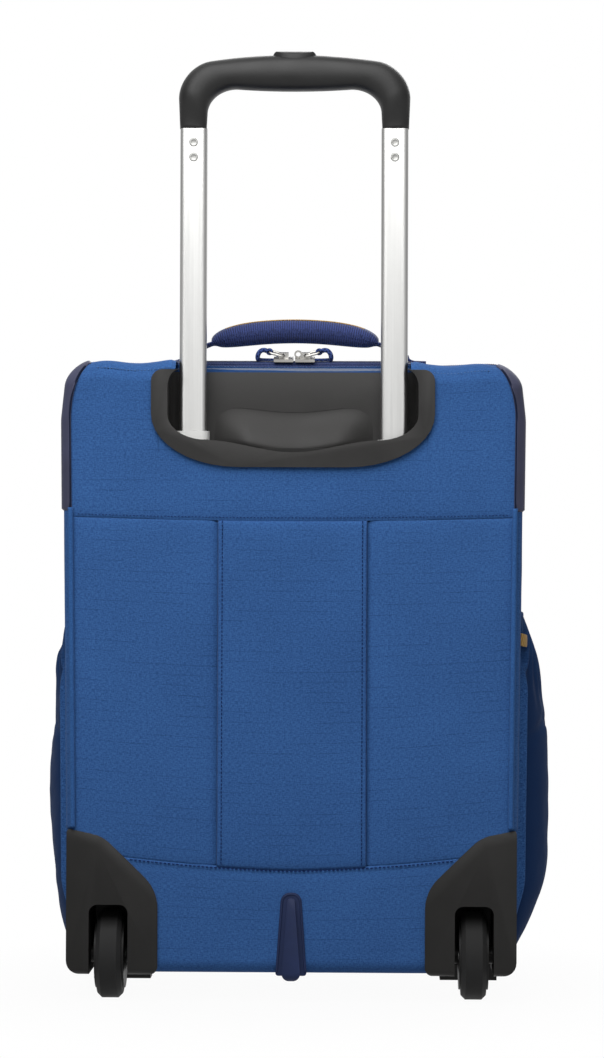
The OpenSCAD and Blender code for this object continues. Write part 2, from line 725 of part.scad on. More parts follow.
module grip_profile(grow = 0) {
    half = grip_d / 2 + grow;
    top = grip_top_z + grow + snug;
    polygon(rounded(
        [
            [tube_y - tube_d / 2, leg_z], [tube_y + tube_d / 2, leg_z],
            [tube_y + half, grip_top_z - bar_h], [tube_y + half, top],
            [tube_y - half, top], [tube_y - half, grip_top_z - bar_h]
        ],
        [0, 0, grip_round, grip_round + grow, grip_round + grow, grip_round]));
}
module button_outline(grow) translate([0, tube_y])
    polygon(ellipse(button_w / 2 + grow, button_d / 2 + grow, 32));
module grip() color("black") placed() difference() {
    union() {
        intersection() {
            along_y(0, case_d) grip_outline();
            along_x(case_w) grip_profile();
        }
        for (s = [LEFT, RIGHT]) translate([s * tube_spacing / 2, tube_y, 0])
            tube_bar(tongue_w, tongue_d, tube_r - tube_wall, leg_z - tongue_l, leg_z + over);
    }
    push_bar_room();
    for (s = [LEFT, RIGHT]) translate([s * tube_spacing / 2, tube_y, 0]) {
        translate([0, 0, leg_z - tongue_l - over])
            cylinder(r = rod_d / 2 + clear, h = push_bar_z - leg_z + tongue_l);
        for (drop = rivet_drops) along_y(-tube_d, -rod_d / 2 - clear) translate([0, leg_z - drop])
            circle(rivet_shank_r + snug);
    }
}
module push_bar_room() {
    translate([-push_bar_w / 2 - clear, tube_y - push_bar_d / 2 - clear, push_bar_z - button_travel - clear])
        cube([push_bar_w + 2 * clear, push_bar_d + 2 * clear, push_bar_h + button_travel + 2 * clear]);
    translate([0, 0, push_bar_z + push_bar_h - button_travel]) linear_extrude(grip_h) button_outline(clear);
    translate([0, tube_y, push_bar_z - button_travel - clear - spring_seat])
        cylinder(r = spring_r + spring_wire, h = grip_h / 2);
}
module grip_rivets() color("silver") for (side = [LEFT, RIGHT]) at_tube(side) for (drop = rivet_drops) {
    along_y(-tube_d / 2 - rivet_proud, rivet_sink - tube_d / 2)
        translate([0, leg_z - drop]) circle(rivet_d / 2);
    along_y(-tube_d / 2, -rod_d / 2 - 2 * clear) translate([0, leg_z - drop]) circle(rivet_shank_r);
}
module release_button() color("black") placed() intersection() {
    translate([0, 0, push_bar_z + push_bar_h]) linear_extrude(grip_h) button_outline(0);
    along_y(0, case_d) polygon(rounded(
        [
            [-button_w / 2, 0], [button_w / 2, 0], [button_w / 2, grip_top_z + button_proud],
            [-button_w / 2, grip_top_z + button_proud]
        ],
        [0, 0, 4, 4]));
    along_x(case_w) grip_profile(button_proud);
}
module push_bar() color("gray") placed()
    translate([-push_bar_w / 2, tube_y - push_bar_d / 2, push_bar_z])
        cube([push_bar_w, push_bar_d, push_bar_h]);
module push_rod(side) color("silver") at_tube(side)
    translate([0, 0, pin_z + pin_d / 2 + 2 + button_travel + clear])
        cylinder(r = rod_d / 2, h = push_bar_z - pin_z - pin_d / 2 - 2 - button_travel - clear);
module button_spring() {
    low = push_bar_z - button_travel - clear - spring_seat + spring_wire / 2;
    high = push_bar_z - spring_wire / 2 - snug;
    steps = 8 * spring_turns;
    path = [for (k = [0 : steps])
        let (t = 360 * k / 8)
        [spring_r * cos(t), tube_y + spring_r * sin(t), low + (high - low) * k / steps]];
    color("silver") placed() tube(path, [0, 0, 1], spring_wire, 6);
}

// Lining between the tubes and the main compartment
module lining() color("lightsteelblue") placed() difference() {
    intersection() {
        case_form(wall);
        slab(lining_y, lining_y + lining_t);
    }
    both_housing_cuts();
}
module zip_band(from, to, low, rise) intersection() {
    difference() {
        case_form(-rise);
        case_form(2);
    }
    slab(from, to, low);
}
zip_low_z = housing_top_z + 2 * over;
fold_half = housing_x - housing_w - tab_w - 2 * over;
fold_rise = 0.6;
fold_t = 1.4;
module fold_strip(from, to) translate([-fold_half, from, ground_gap + fold_rise])
    cube([2 * fold_half, to - from, fold_t]);
module zip_tape_back() color("navy") placed() {
    zip_band(tray_edge_y, zip_y - clear / 2, zip_low_z, -0.6);
    zip_band(zip_y - tape_w / 2, zip_y - clear / 2, zip_low_z, tooth_rise);
    fold_strip(tray_edge_y, zip_y - clear / 2);
}
module zip_tape_front() color("navy") placed() {
    zip_band(zip_y + clear / 2, shell_edge_y, zip_low_z, -0.6);
    zip_band(zip_y + clear / 2, zip_y + tape_w / 2, zip_low_z, tooth_rise);
    fold_strip(zip_y + clear / 2, shell_edge_y);
}

// Wheel housing: a hollow corner piece with a walled slot for the wheel
module slot_outline(grow) polygon(rounded(
    [
        [wheel_x - slot_w / 2 - grow, -over], [wheel_x + slot_w / 2 + grow, -over],
        [wheel_x + slot_w / 2 + grow, slot_top_z + grow], [wheel_x - slot_w / 2 - grow, slot_top_z + grow]
    ],
    [0, 0, slot_r, slot_r]));
module wheel_housing(side) color("black") placed() on_side(side) difference() {
    union() {
        difference() {
            housing_form(0);
            housing_bevels();
            intersection() {
                along_y(housing_wall + over - housing_standout, case_d) housing_outline(housing_wall);
                along_x(case_w) translate([housing_wall, 0]) housing_side(housing_wall);
            }
        }
        intersection() {
            housing_form(0);
            along_y(over - housing_standout, case_d) slot_outline(housing_wall);
        }
        translate([tab_x - tab_w / 2, cup_screw_face + clear, tab_low_z])
            cube([tab_w + housing_wall + clear, tab_t, tab_high_z - tab_low_z]);
    }
    difference() {
        along_y(-case_d, housing_y - housing_wall) slot_outline(0);
        for (s = [LEFT, RIGHT]) translate([wheel_x + s * (hub_w / 2 + clear), axle_y, wheel_r])
            rotate([0, s * 90, 0]) cylinder(r = boss_r, h = slot_w);
    }
    translate([wheel_x, axle_y, wheel_r]) rotate([0, 90, 0])
        cylinder(r = axle_d / 2 + snug, h = 2 * slot_w, center = true);
    mirror([side == LEFT ? 1 : 0, 0, 0]) screw_holes();
}
module axles() color("silver") placed() for (s = [LEFT, RIGHT])
    translate([s * wheel_x, axle_y, wheel_r]) rotate([0, 90, 0])
        cylinder(r = axle_d / 2, h = slot_w + 2 * housing_wall, center = true);
module at_wheel(side) placed() on_side(side)
    translate([wheel_x, axle_y, wheel_r]) rotate([0, 90, 0]) children();
module hub(side) color("dimgray") at_wheel(side)
    difference() {
        cylinder(r = hub_r, h = hub_w, center = true);
        cylinder(r = axle_d / 2 + snug, h = 2 * hub_w, center = true);
    }
module tyre(side) color("black") at_wheel(side)
    rotate_extrude() polygon([
        [hub_r, -tread_w / 2], [wheel_r - tread_bevel, -tread_w / 2], [wheel_r, -tread_w / 2 + tread_bevel],
        [wheel_r, tread_w / 2 - tread_bevel], [wheel_r - tread_bevel, tread_w / 2], [hub_r, tread_w / 2]
    ]);

// Skid: a tapered flange with a raised rib, turned under the edge
skid_top_w = 14;
skid_low_w = 22;
skid_rib_top_w = 5;
skid_rib_low_w = 14;
skid_flange_t = 2;
skid_tip_drop = 5;
skid_top_r = 6.5;
skid_rib_slope = 14;
skid_end_y = tray_edge_y - 4;
module skid_outline(grow) polygon(rounded(
    [
        [-skid_low_w / 2 - grow, ground_gap - over], [skid_low_w / 2 + grow, ground_gap - over],
        [skid_top_w / 2 + grow, skid_top_z + grow], [-skid_top_w / 2 - grow, skid_top_z + grow]
    ],
    [2, 2, skid_top_r, skid_top_r]));
module skid_rib() polygon(rounded(
    [
        [-skid_rib_low_w / 2, ground_gap - skid_tip_drop], [skid_rib_low_w / 2, ground_gap - skid_tip_drop],
        [skid_rib_top_w / 2, skid_top_z - 4], [-skid_rib_top_w / 2, skid_top_z - 4]
    ],
    [6, 6, 2, 2]));
module back_skid() color("midnightblue") placed() {
    difference() {
        along_y(-skid_flange_t, skid_end_y) skid_outline(0);
        case_form(-snug);
    }
    intersection() {
        difference() {
            along_y(-wheel_standout, skid_end_y) skid_rib();
            case_form(-snug);
        }
        along_x(case_w) polygon(rounded(
            [
                [-wheel_standout, ground_gap - skid_tip_drop], [skid_end_y, ground_gap - skid_tip_drop],
                [skid_end_y, skid_top_z], [-skid_flange_t, skid_top_z],
                [-wheel_standout, skid_top_z - skid_rib_slope]
            ],
            [6, 4, 0, 0, 0]));
    }
}

// Front shell: the padded walls in front of the zip
module front_shell() color("steelblue") placed() difference() {
    case_form(0);
    case_form(wall);
    slab(-case_d, shell_edge_y);
    shell_housing_cuts();
}
shell_cut_room = 1.2;
module shell_housing_cuts() for (s = [LEFT, RIGHT]) on_side(s) intersection() {
    along_y(-case_d, housing_y + shell_cut_room) translate([housing_x - housing_w - shell_cut_room, -over])
        square([2 * housing_w, housing_top_z + 2 * over]);
    along_x(case_w) housing_side(-shell_cut_room);
}
module mouth_wire() color("silver") placed() intersection() {
    difference() {
        case_form(wall + clear);
        case_form(wall + clear + wire_d);
    }
    slab(housing_y + shell_cut_room + over, housing_y + shell_cut_room + over + wire_d);
}

// Side pockets, open at the top
pocket_steps = 14;
function pocket_out(t) =
    max(t > 0.5 ? pocket_mouth + pocket_t : 0, pocket_bulge * pow(1 - pow(abs(2 * t - 1), 3), 0.85));
function pocket_line(inset) = concat(
    [for (k = [0 : pocket_steps])
        let (
            t = k / pocket_steps,
            z = pocket_low_z + inset * (1 - t) + (pocket_top_z - pocket_low_z - inset * (1 - t)) * t
        )
        [wall_x(z) + pocket_out(t) - min(inset, pocket_out(t)), z]],
    [[wall_x(pocket_top_z), pocket_top_z]]);
module side_pocket(side) color("mediumblue") placed() on_side(side) difference() {
    along_y(pocket_y, pocket_y + pocket_w) polygon(pocket_line(0));
    along_y(pocket_y + pocket_t, pocket_y + pocket_w - pocket_t) polygon(pocket_line(pocket_t));
    along_y(pocket_y + pocket_t, pocket_y + pocket_w - pocket_t)
        translate([wall_x(pocket_top_z), pocket_top_z - over]) square([pocket_mouth, 2 * over]);
}
module pocket_tape() color("goldenrod") placed()
    translate([wall_x(pocket_top_z) + clear, pocket_y - fabric, pocket_top_z - mouth_tape_drop])
        cube([pocket_mouth, fabric, mouth_tape_h]);

// Front pocket with a zip along its upper face
module front_pocket_outline(inset) polygon(rounded(
    [
        [inset - front_pocket_w / 2, front_pocket_z + inset],
        [front_pocket_w / 2 - inset, front_pocket_z + inset],
        [front_pocket_w / 2 - inset, front_pocket_z + front_pocket_h - inset],
        [inset - front_pocket_w / 2, front_pocket_z + front_pocket_h - inset]
    ],
    [for (k = [0 : 3]) front_pocket_r - inset]));
pocket_zip_y = case_d + front_pocket_d / 2;
pocket_zip_half = front_pocket_w / 2 - front_pocket_r;
module front_pocket() color("steelblue") placed() difference() {
    along_y(case_d, case_d + front_pocket_d) front_pocket_outline(0);
    along_y(case_d - over, case_d + front_pocket_d - pocket_t) front_pocket_outline(pocket_t);
    translate([-pocket_zip_half, pocket_zip_y - pocket_zip_w / 2, front_pocket_z + front_pocket_h / 2])
        cube([2 * pocket_zip_half, pocket_zip_w, front_pocket_h]);
}
module pocket_zip() color("navy") placed() {
    translate([-pocket_zip_half, pocket_zip_y - pocket_zip_w / 2, front_pocket_z + front_pocket_h - pocket_t])
        cube([2 * pocket_zip_half, pocket_zip_w, pocket_t]);
}
module pocket_slider() color("silver") placed()
    translate([-pocket_zip_half + 2, pocket_zip_y - slider_w / 2, front_pocket_z + front_pocket_h + clear])
        cube([slider_l, slider_w, slider_h]);
foot_l = 18;
foot_setback = 8;
module front_feet() color("black") placed() for (s = [LEFT, RIGHT])
    translate([s * wheel_x - foot_w / 2, case_d - sole_r - foot_setback - foot_l, 0])
        cube([foot_w, foot_l, ground_gap]);

// Carry handle: two sewn ends on the top, and a padded strap that tips on them
module handle_ends() color("navy") placed() for (s = [LEFT, RIGHT]) on_side(s)
    translate([handle_half, handle_y - strap_w / 2, case_h]) {
        cube([end_l, strap_w, strap_t]);
        cube([strap_t, strap_w, pivot_rise + strap_t / 2]);
    }
handle_steps = 24;
function handle_rise(u) =
    u < pad_l / handle_l ? pad_rise - pad_h / 8 * pow(u * handle_l / pad_l, 2) - pivot_rise
        : (pad_rise - pad_h / 8 - pivot_rise) * (1 - u) / (1 - pad_l / handle_l);
function pad_swell(u) = u < pad_l / handle_l ? sqrt(1 - pow(u * handle_l / pad_l, 4)) : 0;
module carry_handle() {
    places = [for (k = [0 : handle_steps]) 2 * k / handle_steps - 1];
    path = [for (p = places) [p * (handle_half - end_gap), handle_y, pivot_z + handle_rise(abs(p))]];
    shapes = [for (p = places)
        let (s = pad_swell(abs(p)))
        ellipse((strap_w + (pad_w - strap_w) * s) / 2, (strap_t + (pad_h - strap_t) * s) / 2, 12)];
    color("navy") placed() sweep(path, [0, 1, 0], shapes);
}

// Zip sliders with their pulls, each pull a wire loop and a cord
// Eye for a padlock, on the inner end of the right slider
lock_eye_r = 2.8;
lock_eye_wire = 1.1;
module lock_eye(r, extra = 0) translate([lock_eye_r - slider_x, 0, slider_base_t + lock_eye_r - snug])
    rotate([90, 0, 0]) cylinder(r = r, h = lock_eye_wire + 2 * extra, center = true);
module at_slider(side, z) placed() on_side(side) translate([slider_x, zip_y, z]) children();
module zip_slider(side) color("silver") at_slider(side, slider_z) difference() {
    union() {
        translate([-slider_l / 2, -slider_w / 2, 0]) cube([slider_l, slider_w, slider_base_t]);
        translate([-slider_l / 4, -bridge_w / 2, 0]) cube([slider_l / 2, bridge_w, slider_h]);
        if (side == RIGHT) lock_eye(lock_eye_r);
    }
    if (side == RIGHT) lock_eye(lock_eye_r - lock_eye_wire, over);
    translate([0, 0, slider_h - pull_bore_drop]) rotate([90, 0, 0])
        cylinder(r = pull_pin_r + snug, h = slider_w, center = true);
}
pull_pivot_z = slider_z + slider_h - pull_bore_drop;
module zip_pull(side) color("silver") placed() on_side(side) {
    translate([slider_x, zip_y, pull_pivot_z]) {
        rotate([90, 0, 0]) cylinder(r = pull_pin_r, h = pull_w - pull_wire, center = true);
        rotate([0, -pull_tilt, 0]) difference() {
            translate([-pull_t * 0.7, -pull_w / 2, -pull_t / 2]) cube([pull_l, pull_w, pull_t]);
            translate([-pull_t, -pull_w / 2 + pull_wire, -pull_t])
                cube([pull_l + pull_t * 0.3 - pull_wire, pull_w - 2 * pull_wire, 2 * pull_t]);
        }
    }
}
module pull_cord(side) color("navy") placed() on_side(side)
    tube([for (p = cord_route) p + [slider_x, zip_y, case_h]], cord_side, cord_d);

back_shell();
back_board();
back_yoke();
back_panel(LEFT);  // back_panel_left
back_panel(RIGHT);  // back_panel_right
back_overlay();
back_lower_band();
piping(LEFT);  // piping_left
piping(RIGHT);  // piping_right
corner_guard(LEFT);  // corner_guard_left
corner_guard(RIGHT);  // corner_guard_right
handle_cup();
case_screws();
outer_tube(LEFT);  // outer_tube_left
outer_tube(RIGHT);  // outer_tube_right
tube_foot();
lining();
wheel_housing(LEFT);  // wheel_housing_left
wheel_housing(RIGHT);  // wheel_housing_right
axles();
back_skid();
zip_tape_back();
middle_tube(LEFT);  // middle_tube_left
middle_tube(RIGHT);  // middle_tube_right
middle_collars();
upper_tube(LEFT);  // upper_tube_left
upper_tube(RIGHT);  // upper_tube_right
grip();
grip_rivets();
lock_plug(LEFT);  // lock_plug_left
lock_plug(RIGHT);  // lock_plug_right
release_button();
push_bar();
push_rod(LEFT);  // push_rod_left
push_rod(RIGHT);  // push_rod_right
button_spring();
lock_pin(LEFT);  // lock_pin_left
lock_pin(RIGHT);  // lock_pin_right
tyre(LEFT);  // tyre_left
hub(LEFT);  // hub_left
tyre(RIGHT);  // tyre_right
hub(RIGHT);  // hub_right
front_shell();
zip_tape_front();
mouth_wire();
side_pocket(LEFT);  // side_pocket_left
side_pocket(RIGHT);  // side_pocket_right
pocket_tape();
front_pocket();
pocket_zip();
pocket_slider();
front_feet();
handle_ends();
carry_handle();
zip_slider(LEFT);  // zip_slider_left
zip_slider(RIGHT);  // zip_slider_right
zip_pull(LEFT);  // zip_pull_left
zip_pull(RIGHT);  // zip_pull_right
pull_cord(LEFT);  // pull_cord_left
pull_cord(RIGHT);  // pull_cord_right
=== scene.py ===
# %% [markdown]
# # A softside upright suitcase, dressed from its CAD frame
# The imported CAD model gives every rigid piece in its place: tubes, grip, cup, wheels and screws.
# This lesson adds what a saw and a mould can't make: woven panels, piping, a padded handle, a zip,
# gathered pockets and two cord pulls. Each soft piece is a numpy surface that stands where its
# plain CAD solid stood.

# %% Load the frame
import math

import bmesh
import bpy
import numpy as np
from mathutils import Matrix, Vector


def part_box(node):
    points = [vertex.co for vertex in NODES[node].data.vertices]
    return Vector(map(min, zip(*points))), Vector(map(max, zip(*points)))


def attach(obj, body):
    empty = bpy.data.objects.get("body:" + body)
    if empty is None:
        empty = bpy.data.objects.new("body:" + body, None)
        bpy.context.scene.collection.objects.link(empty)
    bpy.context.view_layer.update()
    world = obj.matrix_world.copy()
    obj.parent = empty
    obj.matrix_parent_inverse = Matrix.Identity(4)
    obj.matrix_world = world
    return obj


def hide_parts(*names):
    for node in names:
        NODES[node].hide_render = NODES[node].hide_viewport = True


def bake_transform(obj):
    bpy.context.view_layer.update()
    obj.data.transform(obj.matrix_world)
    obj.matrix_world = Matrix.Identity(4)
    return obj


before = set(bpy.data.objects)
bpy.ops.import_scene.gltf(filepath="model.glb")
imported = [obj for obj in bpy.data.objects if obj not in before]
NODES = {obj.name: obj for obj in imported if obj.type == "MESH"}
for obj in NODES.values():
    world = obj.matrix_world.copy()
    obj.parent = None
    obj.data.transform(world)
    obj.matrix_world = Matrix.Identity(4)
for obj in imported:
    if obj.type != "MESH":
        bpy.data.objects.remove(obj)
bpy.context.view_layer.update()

# %% [markdown]
# ## Sizes that the pieces share
# All shapes below are worked out in millimetres, with y counted from the plane of the back panel,
# because a seam or a hem is easier to think of that way. The values come from the CAD boxes where
# a box holds them, so the cloth follows the frame.

# %% Shared sizes
MM = 0.001


def node_box(node):
    """The low and the high corner of a CAD node in millimetres, with y in the frame's own count."""
    return [np.array(corner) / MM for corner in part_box(node)[:2]]


SHELL_LOW, SHELL_HIGH = node_box("back_shell")
FRONT_LOW, FRONT_HIGH = node_box("front_shell")
BACK_Y = SHELL_LOW[1]
GROUND_GAP = SHELL_LOW[2]
CASE_H = SHELL_HIGH[2]
TRAY_EDGE = SHELL_HIGH[1] - BACK_Y
SHELL_EDGE = FRONT_LOW[1] - BACK_Y
CASE_D = FRONT_HIGH[1] - BACK_Y
ZIP_Y = (TRAY_EDGE + SHELL_EDGE) / 2
TOP_HALF = 162.0
BASE_HALF = 157.5
CORNER_R = 18.0
TOP_LEAN, LEAN_H, LEAN_R = 4.0, 42.0, 60.0
SEAM_TOP = TOP_HALF - TOP_LEAN - CORNER_R
FOOT_R = 12.0
EDGE_R = 8.0
SHOULDER_R = 14.0
SOLE_R = 10.0
SEAM_INSET = 5.5
UPPER_SEAM = 339.0
LOWER_SEAM = 95.0
UPPER_SAG = 2.5
LOWER_RISE = 7.6
OVERLAY_HALF = 52.5
HOUSING_TOP = 121.0
SIDES = ((-1, "left"), (1, "right"))
BEHIND = (0, -1, 0)
FORWARD = (0, 1, 0)
UPWARD = (0, 0, 1)
print("case:", round(CASE_H), "high,", round(CASE_D), "deep, back plane at", round(BACK_Y, 2), "mm")


# %% [markdown]
# ## Surfaces from whole arrays
# Every new piece is a grid of points: rows by columns by three. The faces of a grid follow from its
# size alone, so one helper turns any grid into a mesh. It also writes a UV map in metres, measured
# along the surface, so that a weave keeps its scale on every panel and follows each bend.

# %% Grid helper
NOISE_STEP, NOISE_SUM = 1.35, 2.2


def wall_half(z):
    """Half the body's width at height z: a straight line from the base to where the sides lean in."""
    return BASE_HALF + (TOP_HALF - BASE_HALF) * (z - GROUND_GAP) / (CASE_H - LEAN_H - GROUND_GAP)


def seam_half(z):
    """Distance of the edge seam from the middle: straight, then a quarter of an ellipse to the top."""
    knee = CASE_H - LEAN_H
    up = np.clip((np.asarray(z, float) - knee) / LEAN_H, 0, 1)
    bent = SEAM_TOP + (wall_half(knee) - SEAM_INSET - SEAM_TOP) * np.sqrt(1 - up ** 2)
    return np.where(z > knee, bent, wall_half(z) - SEAM_INSET)


def smooth_step(x, low, high):
    """A soft step from 0 at low to 1 at high: 3t^2 - 2t^3 of the clamped fraction t."""
    t = np.clip((x - low) / (high - low), 0, 1)
    return t * t * (3 - 2 * t)


def soft_noise(a, b, seed, waves=7):
    """A smooth random field of a and b: a sum of sines with random directions and phases."""
    rng = np.random.default_rng(seed)
    total = np.zeros(np.broadcast(a, b).shape)
    for k in range(waves):
        angle, phase = rng.uniform(0, 2 * math.pi, 2)
        size = NOISE_STEP ** k
        total += np.sin((a * math.cos(angle) + b * math.sin(angle)) * size + phase) / size
    return total / NOISE_SUM


def walk_along(path):
    """Distance walked along a path at each of its points."""
    return np.concatenate([[0.0], np.cumsum(np.linalg.norm(np.diff(path, axis=0), axis=1))])


def in_frame(points):
    """Case millimetres to frame metres, as one list of points."""
    return np.reshape(points, (-1, 3)) * MM + np.array([0, BACK_Y * MM, 0])


def mesh_of(name, points, faces, uv):
    """A smooth mesh from points in case millimetres and faces, with a UV pair for each face corner."""
    mesh = bpy.data.meshes.new(name)
    mesh.from_pydata(in_frame(points), [], faces)
    layer = mesh.uv_layers.new(name="cloth")
    layer.data.foreach_set("uv", uv.astype(np.float32).ravel())
    mesh.polygons.foreach_set("use_smooth", np.ones(len(mesh.polygons), dtype=bool))
    mesh.update()
    return mesh


def surface_lengths(points, axis):
    """Distance walked along one axis of a grid, the mean over the other axis."""
    step = np.linalg.norm(np.diff(points, axis=axis), axis=2).mean(axis=1 - axis)
    return np.concatenate([[0.0], np.cumsum(step)])


def grid_mesh(name, points, loop_rows=False, loop_cols=False, flip=False, cap_rows=False, cut=None):
    """A mesh from a grid of points in case millimetres: quads between neighbours, UV in metres.

    cut is the flat pattern of the cloth, two millimetre values a point, where that is known."""
    rows, cols = points.shape[:2]
    r_count = rows if loop_rows else rows - 1
    c_count = cols if loop_cols else cols - 1
    r, c = np.meshgrid(np.arange(r_count), np.arange(c_count), indexing="ij")
    r2, c2 = (r + 1) % rows, (c + 1) % cols
    quads = np.stack([r * cols + c, r * cols + c2, r2 * cols + c2, r2 * cols + c], axis=-1)
    quads = quads.reshape(-1, 4)
    u_step = surface_lengths(points, 1) * MM
    v_step = surface_lengths(points, 0) * MM
    u_all = np.append(u_step, u_step[-1] + (u_step[1] - u_step[0]))
    v_all = np.append(v_step, v_step[-1] + (v_step[1] - v_step[0]))
    corner_u = np.stack([u_all[c], u_all[c + 1], u_all[c + 1], u_all[c]], axis=-1).reshape(-1, 4)
    corner_v = np.stack([v_all[r], v_all[r], v_all[r + 1], v_all[r + 1]], axis=-1).reshape(-1, 4)
    if cut is not None:
        corner_u, corner_v = [(cut.reshape(-1, 2) * MM)[quads][..., k] for k in range(2)]
    if flip:
        quads, corner_u, corner_v = quads[:, ::-1], corner_u[:, ::-1], corner_v[:, ::-1]
    faces = quads.tolist()
    uv = np.stack([corner_u, corner_v], axis=-1).reshape(-1, 2)
    if cap_rows:
        first = np.arange(cols)[::-1] if not flip else np.arange(cols)
        last = (rows - 1) * cols + (np.arange(cols) if not flip else np.arange(cols)[::-1])
        faces += [first.tolist(), last.tolist()]
        uv = np.concatenate([uv, np.zeros((2 * cols, 2))])
    return mesh_of(name, points, faces, uv)


def piece(name, mesh, material, body):
    """Put a mesh into the scene as a piece that rides on a CAD body, or with body None on none yet."""
    obj = bpy.data.objects.new(name, mesh)
    bpy.context.scene.collection.objects.link(obj)
    mesh.materials.append(material)
    if body:
        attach(obj, body)
    return obj


def thicken(obj, thickness):
    """Give a sheet its thickness, inwards from the surface that was drawn."""
    modifier = obj.modifiers.new("thickness", "SOLIDIFY")
    modifier.thickness = thickness * MM
    modifier.offset = -1
    return obj


def sheet_piece(name, points, material, body, slot, thick=0.0, node=None, fill=None, **grid):
    """A grid surface as a piece, with a thickness and in place of a CAD node if asked; fill is not used."""
    obj = piece(name, grid_mesh(name, points, **grid), material, body)
    if thick:
        thicken(obj, thick)
    if node:
        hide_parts(node)
    return obj


# %% [markdown]
# ## A profile carried along a path
# Piping, straps, cords and the zip's coil are all one idea: a small closed shape carried along a
# line. At each point of the line a frame of two directions is worked out from the tangent and a
# fixed side direction, and the shape is laid out in that frame.

# %% Sweep helper
def tangents(path):
    """Unit direction of a path at each point, from its neighbours."""
    step = np.gradient(path, axis=0)
    return step / np.linalg.norm(step, axis=1, keepdims=True)


def sweep_points(path, side, shape, closed=False):
    """Shape points (a, b) laid out along path: a on the side direction, b on side x tangent.

    shape is (count, 2), or (len(path), count, 2) where it changes along the way."""
    t = tangents(np.vstack([path[-1:], path, path[:1]]))[1:-1] if closed else tangents(path)
    side = np.broadcast_to(np.asarray(side, float), path.shape)
    u = side - np.sum(side * t, axis=1, keepdims=True) * t
    u /= np.linalg.norm(u, axis=1, keepdims=True)
    v = np.cross(t, u)
    shape = np.broadcast_to(shape, (len(path),) + np.shape(shape)[-2:])
    return path[:, None, :] + shape[..., :1] * u[:, None, :] + shape[..., 1:] * v[:, None, :]


def oval(a, b, sides, power=2.0):
    """Points of a superellipse with half-axes a and b; power 2 is an ellipse, more is squarer."""
    angle = np.linspace(0, 2 * math.pi, sides, endpoint=False)
    c, s = np.cos(angle), np.sin(angle)
    x = np.sign(c) * np.abs(c) ** (2 / power)
    y = np.sign(s) * np.abs(s) ** (2 / power)
    return np.stack([np.multiply.outer(a, x), np.multiply.outer(b, y)], axis=-1)


def resample(path, step):
    """The same line with points at an even distance."""
    length = walk_along(path)
    count = max(int(length[-1] / step), 4)
    at = np.linspace(0, length[-1], count)
    return np.stack([np.interp(at, length, path[:, k]) for k in range(path.shape[1])], axis=1)


def smooth_line(points, step):
    """A curve through points: a Catmull-Rom spline, then even steps along it."""
    p = np.asarray(points, float)
    p = np.vstack([2 * p[0] - p[1], p, 2 * p[-1] - p[-2]])
    t = np.linspace(0, 1, 12, endpoint=False)[:, None]
    a, b, c, d = p[:-3, None], p[1:-2, None], p[2:-1, None], p[3:, None]
    curve = 0.5 * (2 * b + (c - a) * t + (2 * a - 5 * b + 4 * c - d) * t ** 2
                   + (3 * b - a - 3 * c + d) * t ** 3)
    return resample(np.vstack([curve.reshape(-1, p.shape[1]), p[-2:-1]]), step)


def swept_piece(name, path, side, shape, material, body, slot, closed=False, node=None, fill=None):
    """A shape carried along a path as a piece, with its ends capped unless the path is a loop."""
    return sheet_piece(name, sweep_points(path, side, shape, closed), material, body, slot, node=node,
                       fill=fill, loop_rows=closed, loop_cols=True, cap_rows=not closed)


def points_of(x, y, z):
    """A line or grid of points from x, y and z, of which some may be one number for all of it."""
    return np.stack(np.broadcast_arrays(x, y, z), axis=-1).astype(float)


def circle(radius, sides):
    """Points of a circle, the section of a cord or a wire."""
    return oval(radius, radius, sides)


# %% [markdown]
# ## Finishes
# A finish is a small node tree. Cloth reads the UV map in metres, so thread pitches are real sizes;
# mouldings read object coordinates. One helper makes a node with its inputs, which keeps each finish
# short enough to read as a recipe.

# %% Node helper
def make_finish(name, roughness, metallic=0.0, **sockets):
    """A new material with one Principled shader; returns the material, its tree and its shader."""
    material = bpy.data.materials.new(name)
    material.use_nodes = True
    tree = material.node_tree
    shader = tree.nodes["Principled BSDF"]
    shader.inputs["Roughness"].default_value = roughness
    shader.inputs["Metallic"].default_value = metallic
    for socket, value in sockets.items():
        shader.inputs[socket.replace("_", " ")].default_value = value
    return material, tree, shader


def add(tree, kind, links=(), **values):
    """A node of a kind: values set attributes or inputs by name, links connect outputs to inputs."""
    node = tree.nodes.new("ShaderNode" + kind)
    for key, value in values.items():
        if hasattr(node, key):
            setattr(node, key, value)
        else:
            node.inputs[key.replace("_", " ")].default_value = value
    for output, target in links:
        tree.links.new(output, node.inputs[target])
    return node


def stretched(tree, source, scale):
    """Coordinates scaled differently along each axis, for streaks and threads."""
    return add(tree, "Mapping", [(source, "Vector")], Scale=scale).outputs["Vector"]


def noise(tree, vector, scale=1.0, detail=2.0):
    """Noise read at scaled coordinates."""
    return add(tree, "TexNoise", [(vector, "Vector")], Scale=scale, Detail=detail).outputs["Fac"]


def bands(tree, vector, axis, pitch):
    """Sine bands across one axis with a pitch in metres; the wave node has 20 radians a unit."""
    return add(tree, "TexWave", [(vector, "Vector")], bands_direction=axis, Scale=math.pi / 10 / pitch,
               Distortion=0.0).outputs["Fac"]


def math_node(tree, operation, a, b):
    """One arithmetic step on two values or outputs."""
    node = tree.nodes.new("ShaderNodeMath")
    node.operation = operation
    for socket, value in zip(node.inputs, (a, b)):
        if isinstance(value, (int, float)):
            socket.default_value = value
        else:
            tree.links.new(value, socket)
    return node.outputs[0]


def ramp(tree, factor, stops):
    """Colours along a factor: a list of (place, colour)."""
    node = add(tree, "ValToRGB", [(factor, "Fac")])
    elements = node.color_ramp.elements
    while len(elements) < len(stops):
        elements.new(0.5)
    for element, (place, colour) in zip(elements, stops):
        element.position = place
        element.color = (*colour, 1)
    return node.outputs["Color"]


